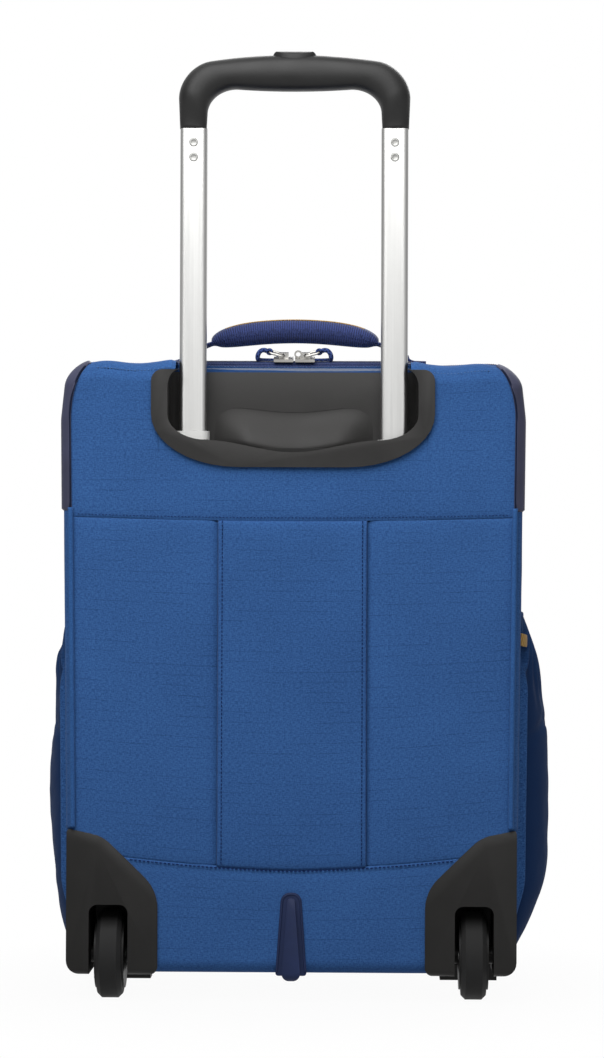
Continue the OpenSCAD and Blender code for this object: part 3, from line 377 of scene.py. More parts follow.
def mix(tree, factor, a, b, mode="MIX"):
    """Two colours mixed by a factor."""
    node = tree.nodes.new("ShaderNodeMix")
    node.data_type = "RGBA"
    node.blend_type = mode
    for socket, value in ((node.inputs[0], factor), (node.inputs[6], a), (node.inputs[7], b)):
        if isinstance(value, (int, float)):
            socket.default_value = value
        elif isinstance(value, tuple):
            socket.default_value = (*value, 1)
        else:
            tree.links.new(value, socket)
    return node.outputs[2]


def bump(tree, shader, height, distance, strength=1.0):
    """Turn a height into a bump on the shader; distance is in metres."""
    node = add(tree, "Bump", [(height, "Height")], Strength=strength, Distance=distance)
    tree.links.new(node.outputs["Normal"], shader.inputs["Normal"])


def cloth_uv(tree):
    """The cloth's own UV map, in metres."""
    return add(tree, "UVMap", uv_map="cloth").outputs["UV"]


def weighed_sum(tree, a, a_share, b, b_share):
    """Two values added, each with its share."""
    return math_node(tree, "ADD", math_node(tree, "MULTIPLY", a, a_share),
                     math_node(tree, "MULTIPLY", b, b_share))


def scaled(colour, factor):
    """A colour made darker or lighter."""
    return tuple(factor * value for value in colour)


def vary_roughness(tree, shader, value, roughness, spread):
    """Roughness that goes up and down round its mean with a noise value."""
    uneven = add(tree, "MapRange", [(value, "Value")], From_Min=0.3, From_Max=0.7, To_Min=roughness - spread,
                 To_Max=roughness + spread)
    tree.links.new(uneven.outputs["Result"], shader.inputs["Roughness"])


# %% [markdown]
# ### The slub cloth
# The body is a plain weave of fine blue yarns, so from a step away it looks smooth. Heavier yarns
# cross it on a loose square grid, and show as broken thin dashes, mostly across the cloth. Sine bands
# raised to a high power give the thin lines, and stretched noise breaks them into dashes.

# %% Slub cloth
SLUB_PITCH, SLUB_SHARP, SLUB_DRIFT = 0.0071, 50.0, 0.0006
SLUB_WANDER = (90, 90, 1)
SLUB_FAINT, SLUB_FULL = 0.44, 0.62
BREAKS_ACROSS, BREAKS_UPRIGHT = (28, 140, 1), (140, 60, 1)
WEFT_STRETCH, WARP_STRETCH = (420, 1500, 1), (1500, 460, 1)
WEFT_SHARE, WARP_SHARE = 0.55, 0.45
CLOUD_SCALE = 11
CLOUD_DARK, CLOUD_LIGHT = (0.9, 0.9, 0.91), (1.05, 1.05, 1.05)
THREAD_PITCH, THREAD_SHARE = 0.0008, 0.4
WEAVE_DEPTH, WEAVE_STRENGTH = 0.0003, 0.6


def dashes(tree, uv, axis, breaks, strength):
    """Thin broken lines across one axis: a sharpened sine band times thresholded noise, times strength."""
    wander = noise(tree, stretched(tree, uv, SLUB_WANDER), detail=1)
    shifted = add(tree, "VectorMath", [(uv, 0)], operation="ADD")
    drift = add(tree, "VectorMath", [(wander, 0)], operation="SCALE")
    drift.inputs["Scale"].default_value = SLUB_DRIFT
    tree.links.new(drift.outputs[0], shifted.inputs[1])
    line = math_node(tree, "POWER", bands(tree, shifted.outputs[0], axis, SLUB_PITCH), SLUB_SHARP)
    part = noise(tree, stretched(tree, uv, breaks), detail=1)
    part = add(tree, "MapRange", [(part, "Value")], From_Min=SLUB_FAINT, From_Max=SLUB_FULL)
    broken = math_node(tree, "MULTIPLY", line, part.outputs["Result"])
    return math_node(tree, "MULTIPLY", broken, strength)


def slub_cloth(name, light, dark, across=0.38, upright=0.14, painted_light=None):
    """Two-tone plain weave: fine crossed yarns, with heavier yarns as dashes across and upright.

    The last argument names a mesh attribute of painted light and shade: where its value is low the cloth is
    darker."""
    material, tree, shader = make_finish(name, 0.85, Sheen_Weight=0.05, Sheen_Roughness=0.5,
                                         Specular_IOR_Level=0.1)
    uv = cloth_uv(tree)
    weft = noise(tree, stretched(tree, uv, WEFT_STRETCH), detail=3)
    warp = noise(tree, stretched(tree, uv, WARP_STRETCH), detail=3)
    cloud = noise(tree, uv, scale=CLOUD_SCALE, detail=3)
    yarns = weighed_sum(tree, weft, WEFT_SHARE, warp, WARP_SHARE)
    tone = ramp(tree, yarns, [(0.38, dark), (0.62, light)])
    slubs = math_node(tree, "MAXIMUM", dashes(tree, uv, "Y", BREAKS_ACROSS, across),
                      dashes(tree, uv, "X", BREAKS_UPRIGHT, upright))
    deep = scaled(dark, 0.5)
    colour = mix(tree, slubs, tone, deep)
    shade = ramp(tree, cloud, [(0.3, CLOUD_DARK), (0.7, CLOUD_LIGHT)])
    colour = mix(tree, 1.0, colour, shade, "MULTIPLY")
    if painted_light:
        # Painted light and shade: the attribute mixes the colour towards half the dark tone.
        fold = add(tree, "Attribute", attribute_name=painted_light).outputs["Fac"]
        colour = mix(tree, fold, deep, colour)
    tree.links.new(colour, shader.inputs["Base Color"])
    threads = math_node(tree, "ADD", bands(tree, uv, "X", THREAD_PITCH), bands(tree, uv, "Y", THREAD_PITCH))
    height = math_node(tree, "ADD", math_node(tree, "MULTIPLY", threads, THREAD_SHARE), yarns)
    bump(tree, shader, height, WEAVE_DEPTH, WEAVE_STRENGTH)
    return material


BODY_CLOTH = slub_cloth("body_cloth", (0.05, 0.15, 0.4), (0.027, 0.086, 0.255))
OVERLAY_CLOTH = slub_cloth("overlay_cloth", (0.049, 0.147, 0.395), (0.026, 0.084, 0.25))
# The pocket cloth takes painted light and shade from its "fold" attribute.
POCKET_CLOTH = slub_cloth("pocket_cloth", (0.058, 0.175, 0.46), (0.019, 0.067, 0.22), 0.12, 0.0, "fold")
# A darker copy of the body cloth: the pocket hem's own colour, and painted shade on the strip behind the
# cup.
HEM_AND_SHADE_CLOTH = slub_cloth("hem_and_shade_cloth", (0.026, 0.08, 0.24), (0.016, 0.055, 0.17), 0.1, 0.0)
LINING_CLOTH = slub_cloth("lining_cloth", (0.22, 0.25, 0.33), (0.15, 0.18, 0.25), 0.1, 0.1)
PIPING_CLOTH = slub_cloth("piping_cloth", (0.042, 0.135, 0.365), (0.026, 0.09, 0.265), 0.1, 0.0)
print("cloths made")


# %% [markdown]
# ### Webbing, cord, thread and tape
# Webbing has ribs across its length; a braided cord has two crossed sets of diagonal strands.
# Both follow the UV map, where one axis runs along the strap.

# %% Webbing and cord
RIB_GRAIN = (2400, 700, 1)
RIB_SHARE, GRAIN_SHARE = 0.7, 0.4
RIB_DEPTH, RIB_STRENGTH = 0.0005, 0.8
BRAID_DEPTH, BRAID_STRENGTH = 0.0004, 0.9


def ribbed(name, light, dark, pitch):
    """Ribs across a strap: sine bands along its length, lighter on the crowns as a painted highlight and
    darker in the grooves as painted shade.
    """
    material, tree, shader = make_finish(name, 0.75, Sheen_Weight=0.3, Specular_IOR_Level=0.25)
    uv = cloth_uv(tree)
    ribs = bands(tree, uv, "Y", pitch)
    grain = noise(tree, stretched(tree, uv, RIB_GRAIN), detail=2)
    factor = weighed_sum(tree, ribs, RIB_SHARE, grain, GRAIN_SHARE)
    tree.links.new(ramp(tree, factor, [(0.2, dark), (0.9, light)]), shader.inputs["Base Color"])
    bump(tree, shader, factor, RIB_DEPTH, RIB_STRENGTH)
    return material


def braided(name, light, dark, pitch):
    """Crossed strands: bands on two diagonals of the UV map, lighter on the strands as a painted highlight
    and darker between them as painted shade.
    """
    material, tree, shader = make_finish(name, 0.8, Sheen_Weight=0.04, Specular_IOR_Level=0.1)
    uv = cloth_uv(tree)
    one = bands(tree, uv, "DIAGONAL", pitch)
    two = bands(tree, stretched(tree, uv, (-1, 1, 1)), "DIAGONAL", pitch)
    factor = math_node(tree, "MAXIMUM", one, two)
    tree.links.new(ramp(tree, factor, [(0.3, dark), (0.95, light)]), shader.inputs["Base Color"])
    bump(tree, shader, factor, BRAID_DEPTH, BRAID_STRENGTH)
    return material


WEBBING = ribbed("handle_webbing", (0.043, 0.07, 0.245), (0.012, 0.02, 0.082), 0.0016)
ZIP_TAPE = ribbed("zip_tape", (0.018, 0.031, 0.092), (0.007, 0.012, 0.042), 0.0012)
TAN_TAPE = ribbed("tan_tape", (0.67, 0.42, 0.14), (0.45, 0.26, 0.07), 0.0012)
CORD_BRAID = braided("cord_braid", (0.05, 0.085, 0.27), (0.012, 0.02, 0.08), 0.0016)
THREAD = braided("sewing_thread", (0.008, 0.032, 0.15), (0.004, 0.016, 0.08), 0.0006)
PALE_THREAD = braided("pale_thread", (0.09, 0.19, 0.42), (0.045, 0.11, 0.27), 0.0006)
WEBBING_THREAD = braided("webbing_thread", (0.06, 0.085, 0.24), (0.03, 0.045, 0.14), 0.0006)
print("webbing, cord, tape and thread made")


# %% [markdown]
# ### Mouldings, vinyl, rubber and metal
# A moulded surface is never quite even: a fine spark texture scatters the light, and handling
# leaves slightly smoother and lighter patches. Drawn aluminium has faint lines along its length.

# %% Hard finishes
HOLLOW_EDGES = (0.0005, 0.0004)
HOLLOW_SHADE = 0.25
HANDLED_SCALE = 38


def moulding(name, colour, roughness, grain=0.0007, depth=0.00006, spread=0.18, hollow=None, **sockets):
    """Moulded plastic or rubber: fine noise bump, cloudy colour and uneven roughness.

    hollow is a depth y and a height z in metres: behind the one and below the other the colour is darker, as
    painted shade."""
    material, tree, shader = make_finish(name, roughness, **sockets)
    place = add(tree, "TexCoord").outputs["Object"]
    fine = noise(tree, place, scale=1 / grain, detail=2)
    cloud = noise(tree, place, scale=HANDLED_SCALE, detail=4)
    tint = ramp(tree, cloud, [(0.3, scaled(colour, 1 - spread)), (0.7, scaled(colour, 1 + spread))])
    # Painted shade: inside the hollow box the colour falls to HOLLOW_SHADE of itself.
    if hollow is not None:
        axes = add(tree, "SeparateXYZ", [(place, "Vector")])
        behind, above = [add(tree, "MapRange", [(axes.outputs[axis], "Value")], From_Min=start,
                             From_Max=start + edge).outputs["Result"]
                         for axis, start, edge in zip("YZ", hollow, HOLLOW_EDGES)]
        deep = math_node(tree, "MULTIPLY", behind, math_node(tree, "SUBTRACT", 1.0, above))
        tint = mix(tree, deep, tint, scaled(colour, HOLLOW_SHADE))
    tree.links.new(tint, shader.inputs["Base Color"])
    vary_roughness(tree, shader, cloud, roughness, 0.07)
    bump(tree, shader, fine, depth)
    return material


def drawn_metal(name, colour, roughness, stretch, depth=0.00002):
    """Bright metal with faint lines along one axis: noise stretched along it."""
    material, tree, shader = make_finish(name, roughness, 1.0)
    place = add(tree, "TexCoord").outputs["Object"]
    lines = noise(tree, stretched(tree, place, stretch), detail=3)
    tint = ramp(tree, lines, [(0.3, scaled(colour, 0.93)), (0.7, colour)])
    tree.links.new(tint, shader.inputs["Base Color"])
    vary_roughness(tree, shader, lines, roughness, 0.06)
    bump(tree, shader, lines, depth)
    return material


GRIP_PLASTIC = moulding("grip_plastic", (0.013, 0.013, 0.013), 0.45, Specular_IOR_Level=0.3)
# The cup's painted shade: the floor's front edge under the slope is drawn darker, as though in shadow.
HOLLOW_Y, HOLLOW_Z = 1.4, 388.3
CUP_PAINTED_SHADE = ((BACK_Y + HOLLOW_Y) * MM, HOLLOW_Z * MM)
CUP_PLASTIC = moulding("cup_plastic", (0.03, 0.0292, 0.0285), 0.5, 0.0009, hollow=CUP_PAINTED_SHADE,
                       Specular_IOR_Level=0.22)
HOUSING_PLASTIC = moulding("housing_plastic", (0.013, 0.0125, 0.012), 0.48, Specular_IOR_Level=0.2)
HUB_PLASTIC = moulding("hub_plastic", (0.015, 0.015, 0.015), 0.5, Specular_IOR_Level=0.2)
PALE_PLASTIC = moulding("pale_plastic", (0.82, 0.82, 0.8), 0.4, spread=0.03)
TYRE_RUBBER = moulding("tyre_rubber", (0.018, 0.018, 0.0182), 0.72, Specular_IOR_Level=0.2)
SKID_RUBBER = moulding("skid_rubber", (0.015, 0.025, 0.075), 0.55, Specular_IOR_Level=0.2)
BOARD = moulding("stiff_board", (0.14, 0.14, 0.14), 0.8)
GUARD_VINYL = moulding("guard_vinyl", (0.05, 0.053, 0.098), 0.5, 0.0012, 0.0001, Specular_IOR_Level=0.25)
# Near black, for the cord that is painted shade in the gap beside each guard.
SEAM_SHADE = moulding("seam_shade", (0.008, 0.012, 0.03), 0.8, Specular_IOR_Level=0.1)
TUBE_METAL = drawn_metal("tube_metal", (0.55, 0.55, 0.54), 0.34, (900, 900, 8))
STEEL = drawn_metal("plain_steel", (0.6, 0.6, 0.61), 0.32, (300, 300, 300))
NICKEL = drawn_metal("nickel", (0.42, 0.41, 0.39), 0.38, (500, 500, 500))
RIVET_METAL = drawn_metal("rivet_metal", (0.3, 0.3, 0.29), 0.42, (500, 500, 500))
COIL_PLASTIC = moulding("coil_plastic", (0.02, 0.034, 0.11), 0.45, Specular_IOR_Level=0.25)
print("mouldings and metals made")

# %% [markdown]
# ## Camera first
# The photograph was taken from behind at about handle height, from a little over two metres and
# slightly to the right. Its place, turn and focal length come from a fit of known corners to the
# picture, and the slight lean of the picture is a roll of the camera.

# %% Camera
PHOTO_H = 1058
CAMERA_MM = np.array([52.8, -2262.5, 300.1])
CAMERA_YAW, CAMERA_PITCH, CAMERA_ROLL = 0.0204, 0.0138, 0.0036
FOCAL_PX = 3230.5
SENSOR_H = 24
camera_data = bpy.data.cameras.new("camera")
camera_data.sensor_fit = "VERTICAL"
camera_data.sensor_height = SENSOR_H
camera_data.lens = FOCAL_PX / PHOTO_H * SENSOR_H
camera = bpy.data.objects.new("camera", camera_data)
bpy.context.scene.collection.objects.link(camera)
camera.location = (CAMERA_MM + [0, BACK_Y, 0]) * MM
camera.rotation_mode = "XYZ"
turn = (Matrix.Rotation(CAMERA_YAW, 4, "Z") @ Matrix.Rotation(math.pi / 2 + CAMERA_PITCH, 4, "X")
        @ Matrix.Rotation(CAMERA_ROLL, 4, "Z"))
camera.rotation_euler = turn.to_euler()
bpy.context.scene.camera = camera
print("camera at", [round(value, 3) for value in camera.location], "lens", round(camera_data.lens, 1))

# %% [markdown]
# ## The cord pulls
# Each zip pull carries a short braided cord that is hitched round the end of the metal loop, comes
# down on the top of the bag and curls forward to a knot. The route is the CAD cord's own, on both
# sides.

# %% Cord pulls
SLIDER_X = 7.6
CORD_D = 3.4
CORD_ROUTE = np.array([[11.35, 0, 8.5], [13.7, -0.3, 9.3], [16.1, -0.6, 8.9], [17.9, -0.6, 6.9],
                       [18.6, 0.2, 4.4], [18.2, 2.6, 2.8], [16.4, 5.6, 2.4], [13.4, 8, 2.4],
                       [9.8, 9.1, 2.4], [6.2, 8.9, 2.4], [3.2, 7.7, 2.4]])
CORD_SIDE = np.array([0.35, 0.65, 0.68])
PULL_PIVOT = np.array([SLIDER_X, ZIP_Y - 1.3, 455.4])
PULL_TILT, PULL_TWIST = math.radians(15), math.radians(24)
PULL_L, PULL_BACK, PULL_HALF_W, PULL_WIRE = 13.0, 1.68, 2.7, 0.85
ALONG = np.array([math.cos(PULL_TILT), 0, math.sin(PULL_TILT)])
ACROSS = np.array([0, math.cos(PULL_TWIST), math.sin(PULL_TWIST)])
HITCH_R, HITCH_D, HITCH_END = 1.75, 1.7, 4 * math.pi
KNOT_SIZE, KNOT_R, KNOT_RISE = 0.95, 1.35, 1.2
KNOT_SHARES, KNOT_SIDE = (0.75, 0.8, -0.7), (0.2, 0.3, 1)


def cord_line(side):
    """The cord's line: x outwards and y forward from the slider, and height over the top."""
    line = smooth_line(CORD_ROUTE, 1.0) + [SLIDER_X, ZIP_Y, CASE_H]
    return line * [side, 1, 1]


def knot_line(centre):
    """A trefoil knot round a centre: sines and cosines of one and two turns."""
    t = np.linspace(0, 2 * math.pi, 60, endpoint=False)
    x = np.sin(t) + 2 * np.sin(2 * t)
    y = np.cos(t) - 2 * np.cos(2 * t)
    return centre + KNOT_SIZE * np.stack([x, y, np.sin(3 * t)], axis=1) * KNOT_SHARES


def hitch_line(side):
    """Two turns of a helix round the loop's end wire, in the plane of the pull's direction."""
    t = np.linspace(0, HITCH_END, 50)[:, None]
    centre = PULL_PIVOT + (PULL_L - PULL_BACK - PULL_WIRE) * ALONG
    turn = HITCH_R * (np.cos(t) * ALONG + np.sin(t) * np.cross(ALONG, ACROSS))
    return (centre + turn + (t / HITCH_END - 0.5) * HITCH_D * ACROSS) * [side, 1, 1]


for side, word in SIDES:
    mirror = np.array([side, 1, 1])
    navy = (CORD_BRAID, "pull_" + word, "cord_navy")
    line = cord_line(side)
    cord = swept_piece("cord_pull_" + word, line, CORD_SIDE * mirror, circle(CORD_D / 2, 12), *navy,
                       node="pull_cord_" + word)
    knot = swept_piece("cord_knot_" + word, knot_line(line[-1] + [0, 0, KNOT_RISE]), KNOT_SIDE,
                       circle(KNOT_R, 8), *navy, closed=True)
    hitch = swept_piece("cord_hitch_" + word, hitch_line(side), ACROSS * mirror, circle(HITCH_D / 2, 8),
                        *navy)

# %% [markdown]
# The metal pull itself is a bent wire: a long loop, a little twisted on its slider as it lies. It is
# drawn as an oval line with flat sides, laid out on the pull's own direction.

# %% Pull loops
LOOP_HALF = (PULL_L - PULL_BACK - PULL_WIRE) / 2
LOOP = oval(LOOP_HALF, PULL_HALF_W, 64, 3.4) + [LOOP_HALF, 0]
for side, word in SIDES:
    line = (PULL_PIVOT + LOOP[:, :1] * ALONG + LOOP[:, 1:] * ACROSS) * [side, 1, 1]
    normal = np.cross(ALONG, ACROSS) * [side, 1, 1]
    swept_piece("pull_loop_" + word, line, normal, circle(PULL_WIRE, 10), NICKEL, "pull_" + word, "nickel",
                closed=True, node="zip_pull_" + word)
print("pull loops made")

# %% [markdown]
# ## The back panels
# The back is sewn from a yoke round the cup, two side panels, a central overlay and a lower band.
# Each panel is a height field over x and z: it sinks into its seams and stands a little proud
# between them, as foam-backed cloth does, with slow waves where the foam has settled.

# %% Back panels
BACK_FABRIC = (BODY_CLOTH, "case_back", "fabric_main")
FRONT_FABRIC = (BODY_CLOTH, "front", "fabric_main")
CLOTH_T, PANEL_FILL = 0.8, 0.3
UPPER_LIFT, UPPER_ARC = 0.4, 153
LOWER_DROP, LOWER_ARC, LOWER_POWER = 2.6, 113, 1.6
PANEL_PUFF, OVERLAY_PUFF, YOKE_PUFF = 1.4, 2.6, 1.5
PANEL_WAVES, YOKE_WAVES, WAVE_SIZE, WAVE_FADE = 0.45, 0.5, 26, 18
SINK_DEPTH, SINK_REACH = 2.4, 2.6
SEAM_LAP, OVERLAY_LAP, OVERLAY_ROLL = 0.3, 1.5, 1.6
PANEL_BASE, OVERLAY_BASE = 0.4, 0.5
YOKE_SINK, YOKE_SEED = 0.4, 3
CUP_LOW, CUP_HIGH = node_box("handle_cup")
CUP_HALF = CUP_HIGH[0]
CUP_BOTTOM = CUP_LOW[2]
CUP_TOP = CUP_HIGH[2]
CUP_FLAT, CUP_BEND, CUP_RIM = 38.0, 37.5, 5
SHOULDER_LOW = CASE_H - SHOULDER_R
YOKE_END = SHOULDER_LOW + SHOULDER_R * math.pi / 2 + TRAY_EDGE - SHOULDER_R - 1.0
SETTLE_LEFT, SETTLE_RIGHT, SETTLE_WAVE = 1.7, 3.6, 1.1
SETTLE_CREST, SETTLE_LENGTH, SETTLE_FROM, SETTLE_TO, SETTLE_DEPTH = 109, 52, 74, 96, 44
RETURN_IN, RETURN_FADE = 82.6, 4


def upper_seam(x):
    """Height of the upper cross seam: it sags to the middle like a parabola."""
    return UPPER_SEAM + UPPER_LIFT - UPPER_SAG * (1 - (x / UPPER_ARC) ** 2)


def lower_seam(x):
    """Height of the lower cross seam: lowest in the middle, rising to the wheel housings."""
    return LOWER_SEAM - LOWER_DROP + LOWER_RISE * np.abs(np.asarray(x) / LOWER_ARC) ** LOWER_POWER


def panel_height(edge, puff, reach=7.0):
    """How far a panel stands out at a distance from its nearest seam: puff x (1 - e^(-edge / reach))."""
    return puff * (1 - np.exp(-np.maximum(edge, 0) / reach))


def rolled_height(edge, puff, radius):
    """A folded edge: a quarter circle of a radius, then level."""
    inside = np.clip(1 - edge / radius, 0, 1)
    return puff * np.sqrt(1 - inside ** 2)


def slow_waves(x, along, seed, edge):
    """Waves of settled foam, which fade out towards the seams."""
    return soft_noise(x / WAVE_SIZE, along / WAVE_SIZE, seed) * smooth_step(edge, 0, WAVE_FADE)


def back_panel(x_left, x_right, puff, seed, base=PANEL_BASE, columns=90, sink=None, rolled=0.0):
    """A panel between two sides, which are functions of z, and the two cross seams.

    sink is an x where a neighbour presses it down, rolled the radius of its folded sides."""
    s, t = np.meshgrid(np.linspace(0, 1, columns), np.linspace(0, 1, 110))
    middle = (LOWER_SEAM + UPPER_SEAM) / 2
    x = x_left(middle) + (x_right(middle) - x_left(middle)) * s
    low, high = lower_seam(x), upper_seam(x)
    z = low + (high - low) * t
    left, right = x_left(z), x_right(z)
    x = left + (right - left) * s
    ends = np.minimum(z - low, high - z)
    sides = np.minimum(x - left, right - x)
    edge = np.minimum(sides, ends)
    stand = panel_height(edge, puff)
    if rolled:
        at_ends = 0.2 * puff + panel_height(ends, 0.8 * puff, 5)
        stand = np.minimum(rolled_height(sides, puff, rolled), at_ends)
    if sink is not None:
        stand = stand - SINK_DEPTH * np.exp(-np.abs(x - sink) / SINK_REACH)
    y = base - stand - PANEL_WAVES * slow_waves(x, z, seed, edge)
    return np.stack([x, y, z], axis=-1)


def constant(value):
    """A limit that doesn't change."""
    return lambda other: np.full(np.shape(other), float(value))


def seam_side(side):
    """The edge seam at height z, on the left or the right."""
    return lambda z: side * (seam_half(z) + SEAM_LAP)


def over_shoulder(walk):
    """Place and outward direction in y and z after a walk: up the back, a quarter turn, then forward."""
    angle = np.clip((walk - SHOULDER_LOW) / SHOULDER_R, 0, math.pi / 2)
    forward = np.maximum(walk - SHOULDER_LOW - SHOULDER_R * math.pi / 2, 0)
    y = SHOULDER_R * (1 - np.cos(angle)) + forward
    z = np.minimum(walk, SHOULDER_LOW) + SHOULDER_R * np.sin(angle)
    return y, z, -np.cos(angle), np.sin(angle)


def settle(points, share=1.0):
    """Lowers the top where the padding has sagged beside the cup: a fall and a wave over x, less down z."""
    x, z = points[..., 0], points[..., 2]
    beside = np.abs(x)
    wave = SETTLE_WAVE * np.cos(2 * math.pi * (beside - SETTLE_CREST) / SETTLE_LENGTH)
    fall = np.where(x > 0, SETTLE_RIGHT, SETTLE_LEFT) + wave
    near = smooth_step(beside, SETTLE_FROM, SETTLE_TO)
    drop = share * fall * near * smooth_step(z, CASE_H - SETTLE_DEPTH, CASE_H)
    return np.stack([x, points[..., 1], z - drop], axis=-1)


def yoke_limit(x):
    """How far the yoke's walk goes: under the cup's rim in the middle, over the shoulder beside it."""
    across = np.clip((np.abs(x) - CUP_FLAT) / (CUP_HALF - CUP_FLAT), 0, 1)
    rim = CUP_BOTTOM + CUP_BEND * (1 - np.sqrt(1 - across ** 2)) + CUP_RIM
    return np.where(np.abs(x) > CUP_HALF - 4, YOKE_END, np.minimum(rim, SHOULDER_LOW))


def yoke_stand(x, walk, edge):
    """How far the yoke stands out at a place and a distance from its nearest seam."""
    return panel_height(edge, YOKE_PUFF) - YOKE_SINK + YOKE_WAVES * slow_waves(x, walk, YOKE_SEED, edge)


def yoke_cloth(x, walk, stand):
    """Points of cloth that stands off the walk over the shoulder, and its flat pattern."""
    y, z, out_y, out_z = over_shoulder(walk)
    points = settle(np.stack([x, y + stand * out_y, z + stand * out_z], axis=-1))
    return points, np.stack([x, walk], axis=-1)


def yoke_points():
    """The yoke: columns over x, rows along the walk; beside the cup the columns follow the edge seam."""
    wide = seam_half(UPPER_SEAM) + SEAM_LAP
    beside = CUP_HALF + 1
    x, t = np.meshgrid(np.linspace(-wide, wide, 260), np.linspace(0, 1, 100))
    low = upper_seam(x)
    walk = low + (yoke_limit(x) - low) * t
    half = seam_half(np.minimum(over_shoulder(walk)[1], CASE_H)) + SEAM_LAP
    outer = beside + (np.abs(x) - beside) * (half - beside) / (wide - beside)
    x = np.where(np.abs(x) > beside, np.sign(x) * outer, x)
    edge = np.minimum(np.minimum(half - np.abs(x), walk - low), YOKE_END - walk)
    return yoke_cloth(x, walk, yoke_stand(x, walk, edge))


def yoke_return(side):
    """The end of the yoke above the cup's corner: the roll over the shoulder as far as the tube."""
    x, walk = np.meshgrid(side * np.linspace(RETURN_IN, CUP_HALF + 0.5, 16),
                          np.linspace(CUP_TOP + 0.6, YOKE_END, 24))
    fade = smooth_step(np.abs(x), RETURN_IN, RETURN_IN + RETURN_FADE)
    return yoke_cloth(x, walk, yoke_stand(x, walk, YOKE_END - walk) * fade)


points, cut = yoke_points()
sheet_piece("yoke_panel", points, *BACK_FABRIC, CLOTH_T, "back_yoke", PANEL_FILL, cut=cut)
for side, word in SIDES:
    points, cut = yoke_return(side)
    sheet_piece("yoke_return_" + word, points, *BACK_FABRIC, CLOTH_T, fill=PANEL_FILL, cut=cut,
                flip=side < 0)
for word, left, right, seed, sink in (
        ("left", seam_side(-1), constant(-OVERLAY_HALF + OVERLAY_LAP), 5, -OVERLAY_HALF),
        ("right", constant(OVERLAY_HALF - OVERLAY_LAP), seam_side(1), 7, OVERLAY_HALF)):
    points = back_panel(left, right, PANEL_PUFF, seed, sink=sink)
    sheet_piece("side_panel_" + word, points, *BACK_FABRIC, CLOTH_T, "back_panel_" + word, PANEL_FILL)
points = back_panel(constant(-OVERLAY_HALF), constant(OVERLAY_HALF), OVERLAY_PUFF, 9, OVERLAY_BASE, 130,
                    rolled=OVERLAY_ROLL)
sheet_piece("overlay_panel", points, OVERLAY_CLOTH, "case_back", "fabric_main", CLOTH_T, "back_overlay",
            PANEL_FILL)
print("back panels made")

# %% [markdown]
# The lower band goes on round the bottom edge of the tray, so it is a profile in y and z carried
# across x: down the back, round the sole's curve and forward to the fold.

# %% Lower band
BAND_HALF, BAND_WIDER, WIDER_FROM, WIDER_TO = 111.0, 9, 80, 94
BAND_PUFF, BAND_WAVES, BAND_WAVE_SIZE, BAND_SEED = 1.1, 0.35, 24, 12
BAND_SINK, BAND_FADE, BAND_LAP = 0.3, 8, 2.4


def band_profile(count):
    """Down the back, a quarter turn of the sole's radius, then forward under the tray."""
    sole = GROUND_GAP + SOLE_R
    down = np.stack([np.zeros(count), np.linspace(LOWER_SEAM + 0.5, sole, count)], axis=1)
    turn = np.linspace(0, math.pi / 2, count)
    bend = np.stack([SOLE_R - SOLE_R * np.cos(turn), sole - SOLE_R * np.sin(turn)], axis=1)
    under = np.stack([np.linspace(SOLE_R, TRAY_EDGE + BAND_LAP, count), np.full(count, GROUND_GAP)], axis=1)
    return np.vstack([down[:-1], bend[:-1], under])


profile = band_profile(30)
depth, height = profile[:, :1], profile[:, 1:]
walked = walk_along(profile)
s, walk = np.meshgrid(np.linspace(-1, 1, 120), walked)
x = s * (BAND_HALF + BAND_WIDER * smooth_step(height, WIDER_FROM, WIDER_TO))
waves = BAND_WAVES * soft_noise(x / BAND_WAVE_SIZE, walk / BAND_WAVE_SIZE, BAND_SEED)
stand = panel_height(np.minimum(walk, walked[-1] - walk), BAND_PUFF) + waves
stand = (stand * smooth_step(walk, 0, BAND_FADE) - BAND_SINK) * (1 - smooth_step(depth, 0, SOLE_R))
upright = smooth_step(height, GROUND_GAP + SOLE_R, LOWER_SEAM)
rise = upright * (lower_seam(x) - LOWER_SEAM + 0.4)
points = np.stack([x, depth - stand, height + rise], axis=-1)
sheet_piece("lower_band", points, *BACK_FABRIC, CLOTH_T, "back_lower_band", PANEL_FILL, flip=True)
print("lower band made")

# %% [markdown]
# ## The tray's edge and the front shell
# Both are bands of padded cloth that follow the outline of the case: up one side, round the corner,
# over the top and down again. A rounded outline gives the path, its outward normal gives the
# direction to draw the cloth in, and a profile over y says how far.

# %% Outline of the case
OUTLINE_STEP = 3.0


def corner_arc(before, at, after, radius, count):
    """An arc that rounds a corner: its centre lies on the bisector at radius / sin(half the angle)."""
    a = (before - at) / np.linalg.norm(before - at)
    b = (after - at) / np.linalg.norm(after - at)
    half = math.acos(float(a @ b)) / 2
    centre = at + (a + b) / np.linalg.norm(a + b) * radius / math.sin(half)
    start, end = at + a * radius / math.tan(half) - centre, at + b * radius / math.tan(half) - centre
    first = math.atan2(start[1], start[0])
    sweep = (math.atan2(end[1], end[0]) - first + math.pi) % (2 * math.pi) - math.pi
    angle = first + sweep * np.linspace(0, 1, count)
    return centre + radius * np.stack([np.cos(angle), np.sin(angle)], axis=1)


def rounded_outline(corners, radii, count):
    """A closed outline with rounded corners, clockwise from the middle of its foot and back to it."""
    corners = np.array(corners)
    after = np.roll(corners, -1, axis=0)
    arcs = [corner_arc(corners[k - 1], corners[k], after[k], radii[k], count) for k in range(len(corners))]
    middle = np.array([[0.0, corners[0, 1]]])
    return np.vstack([middle] + arcs + [middle])


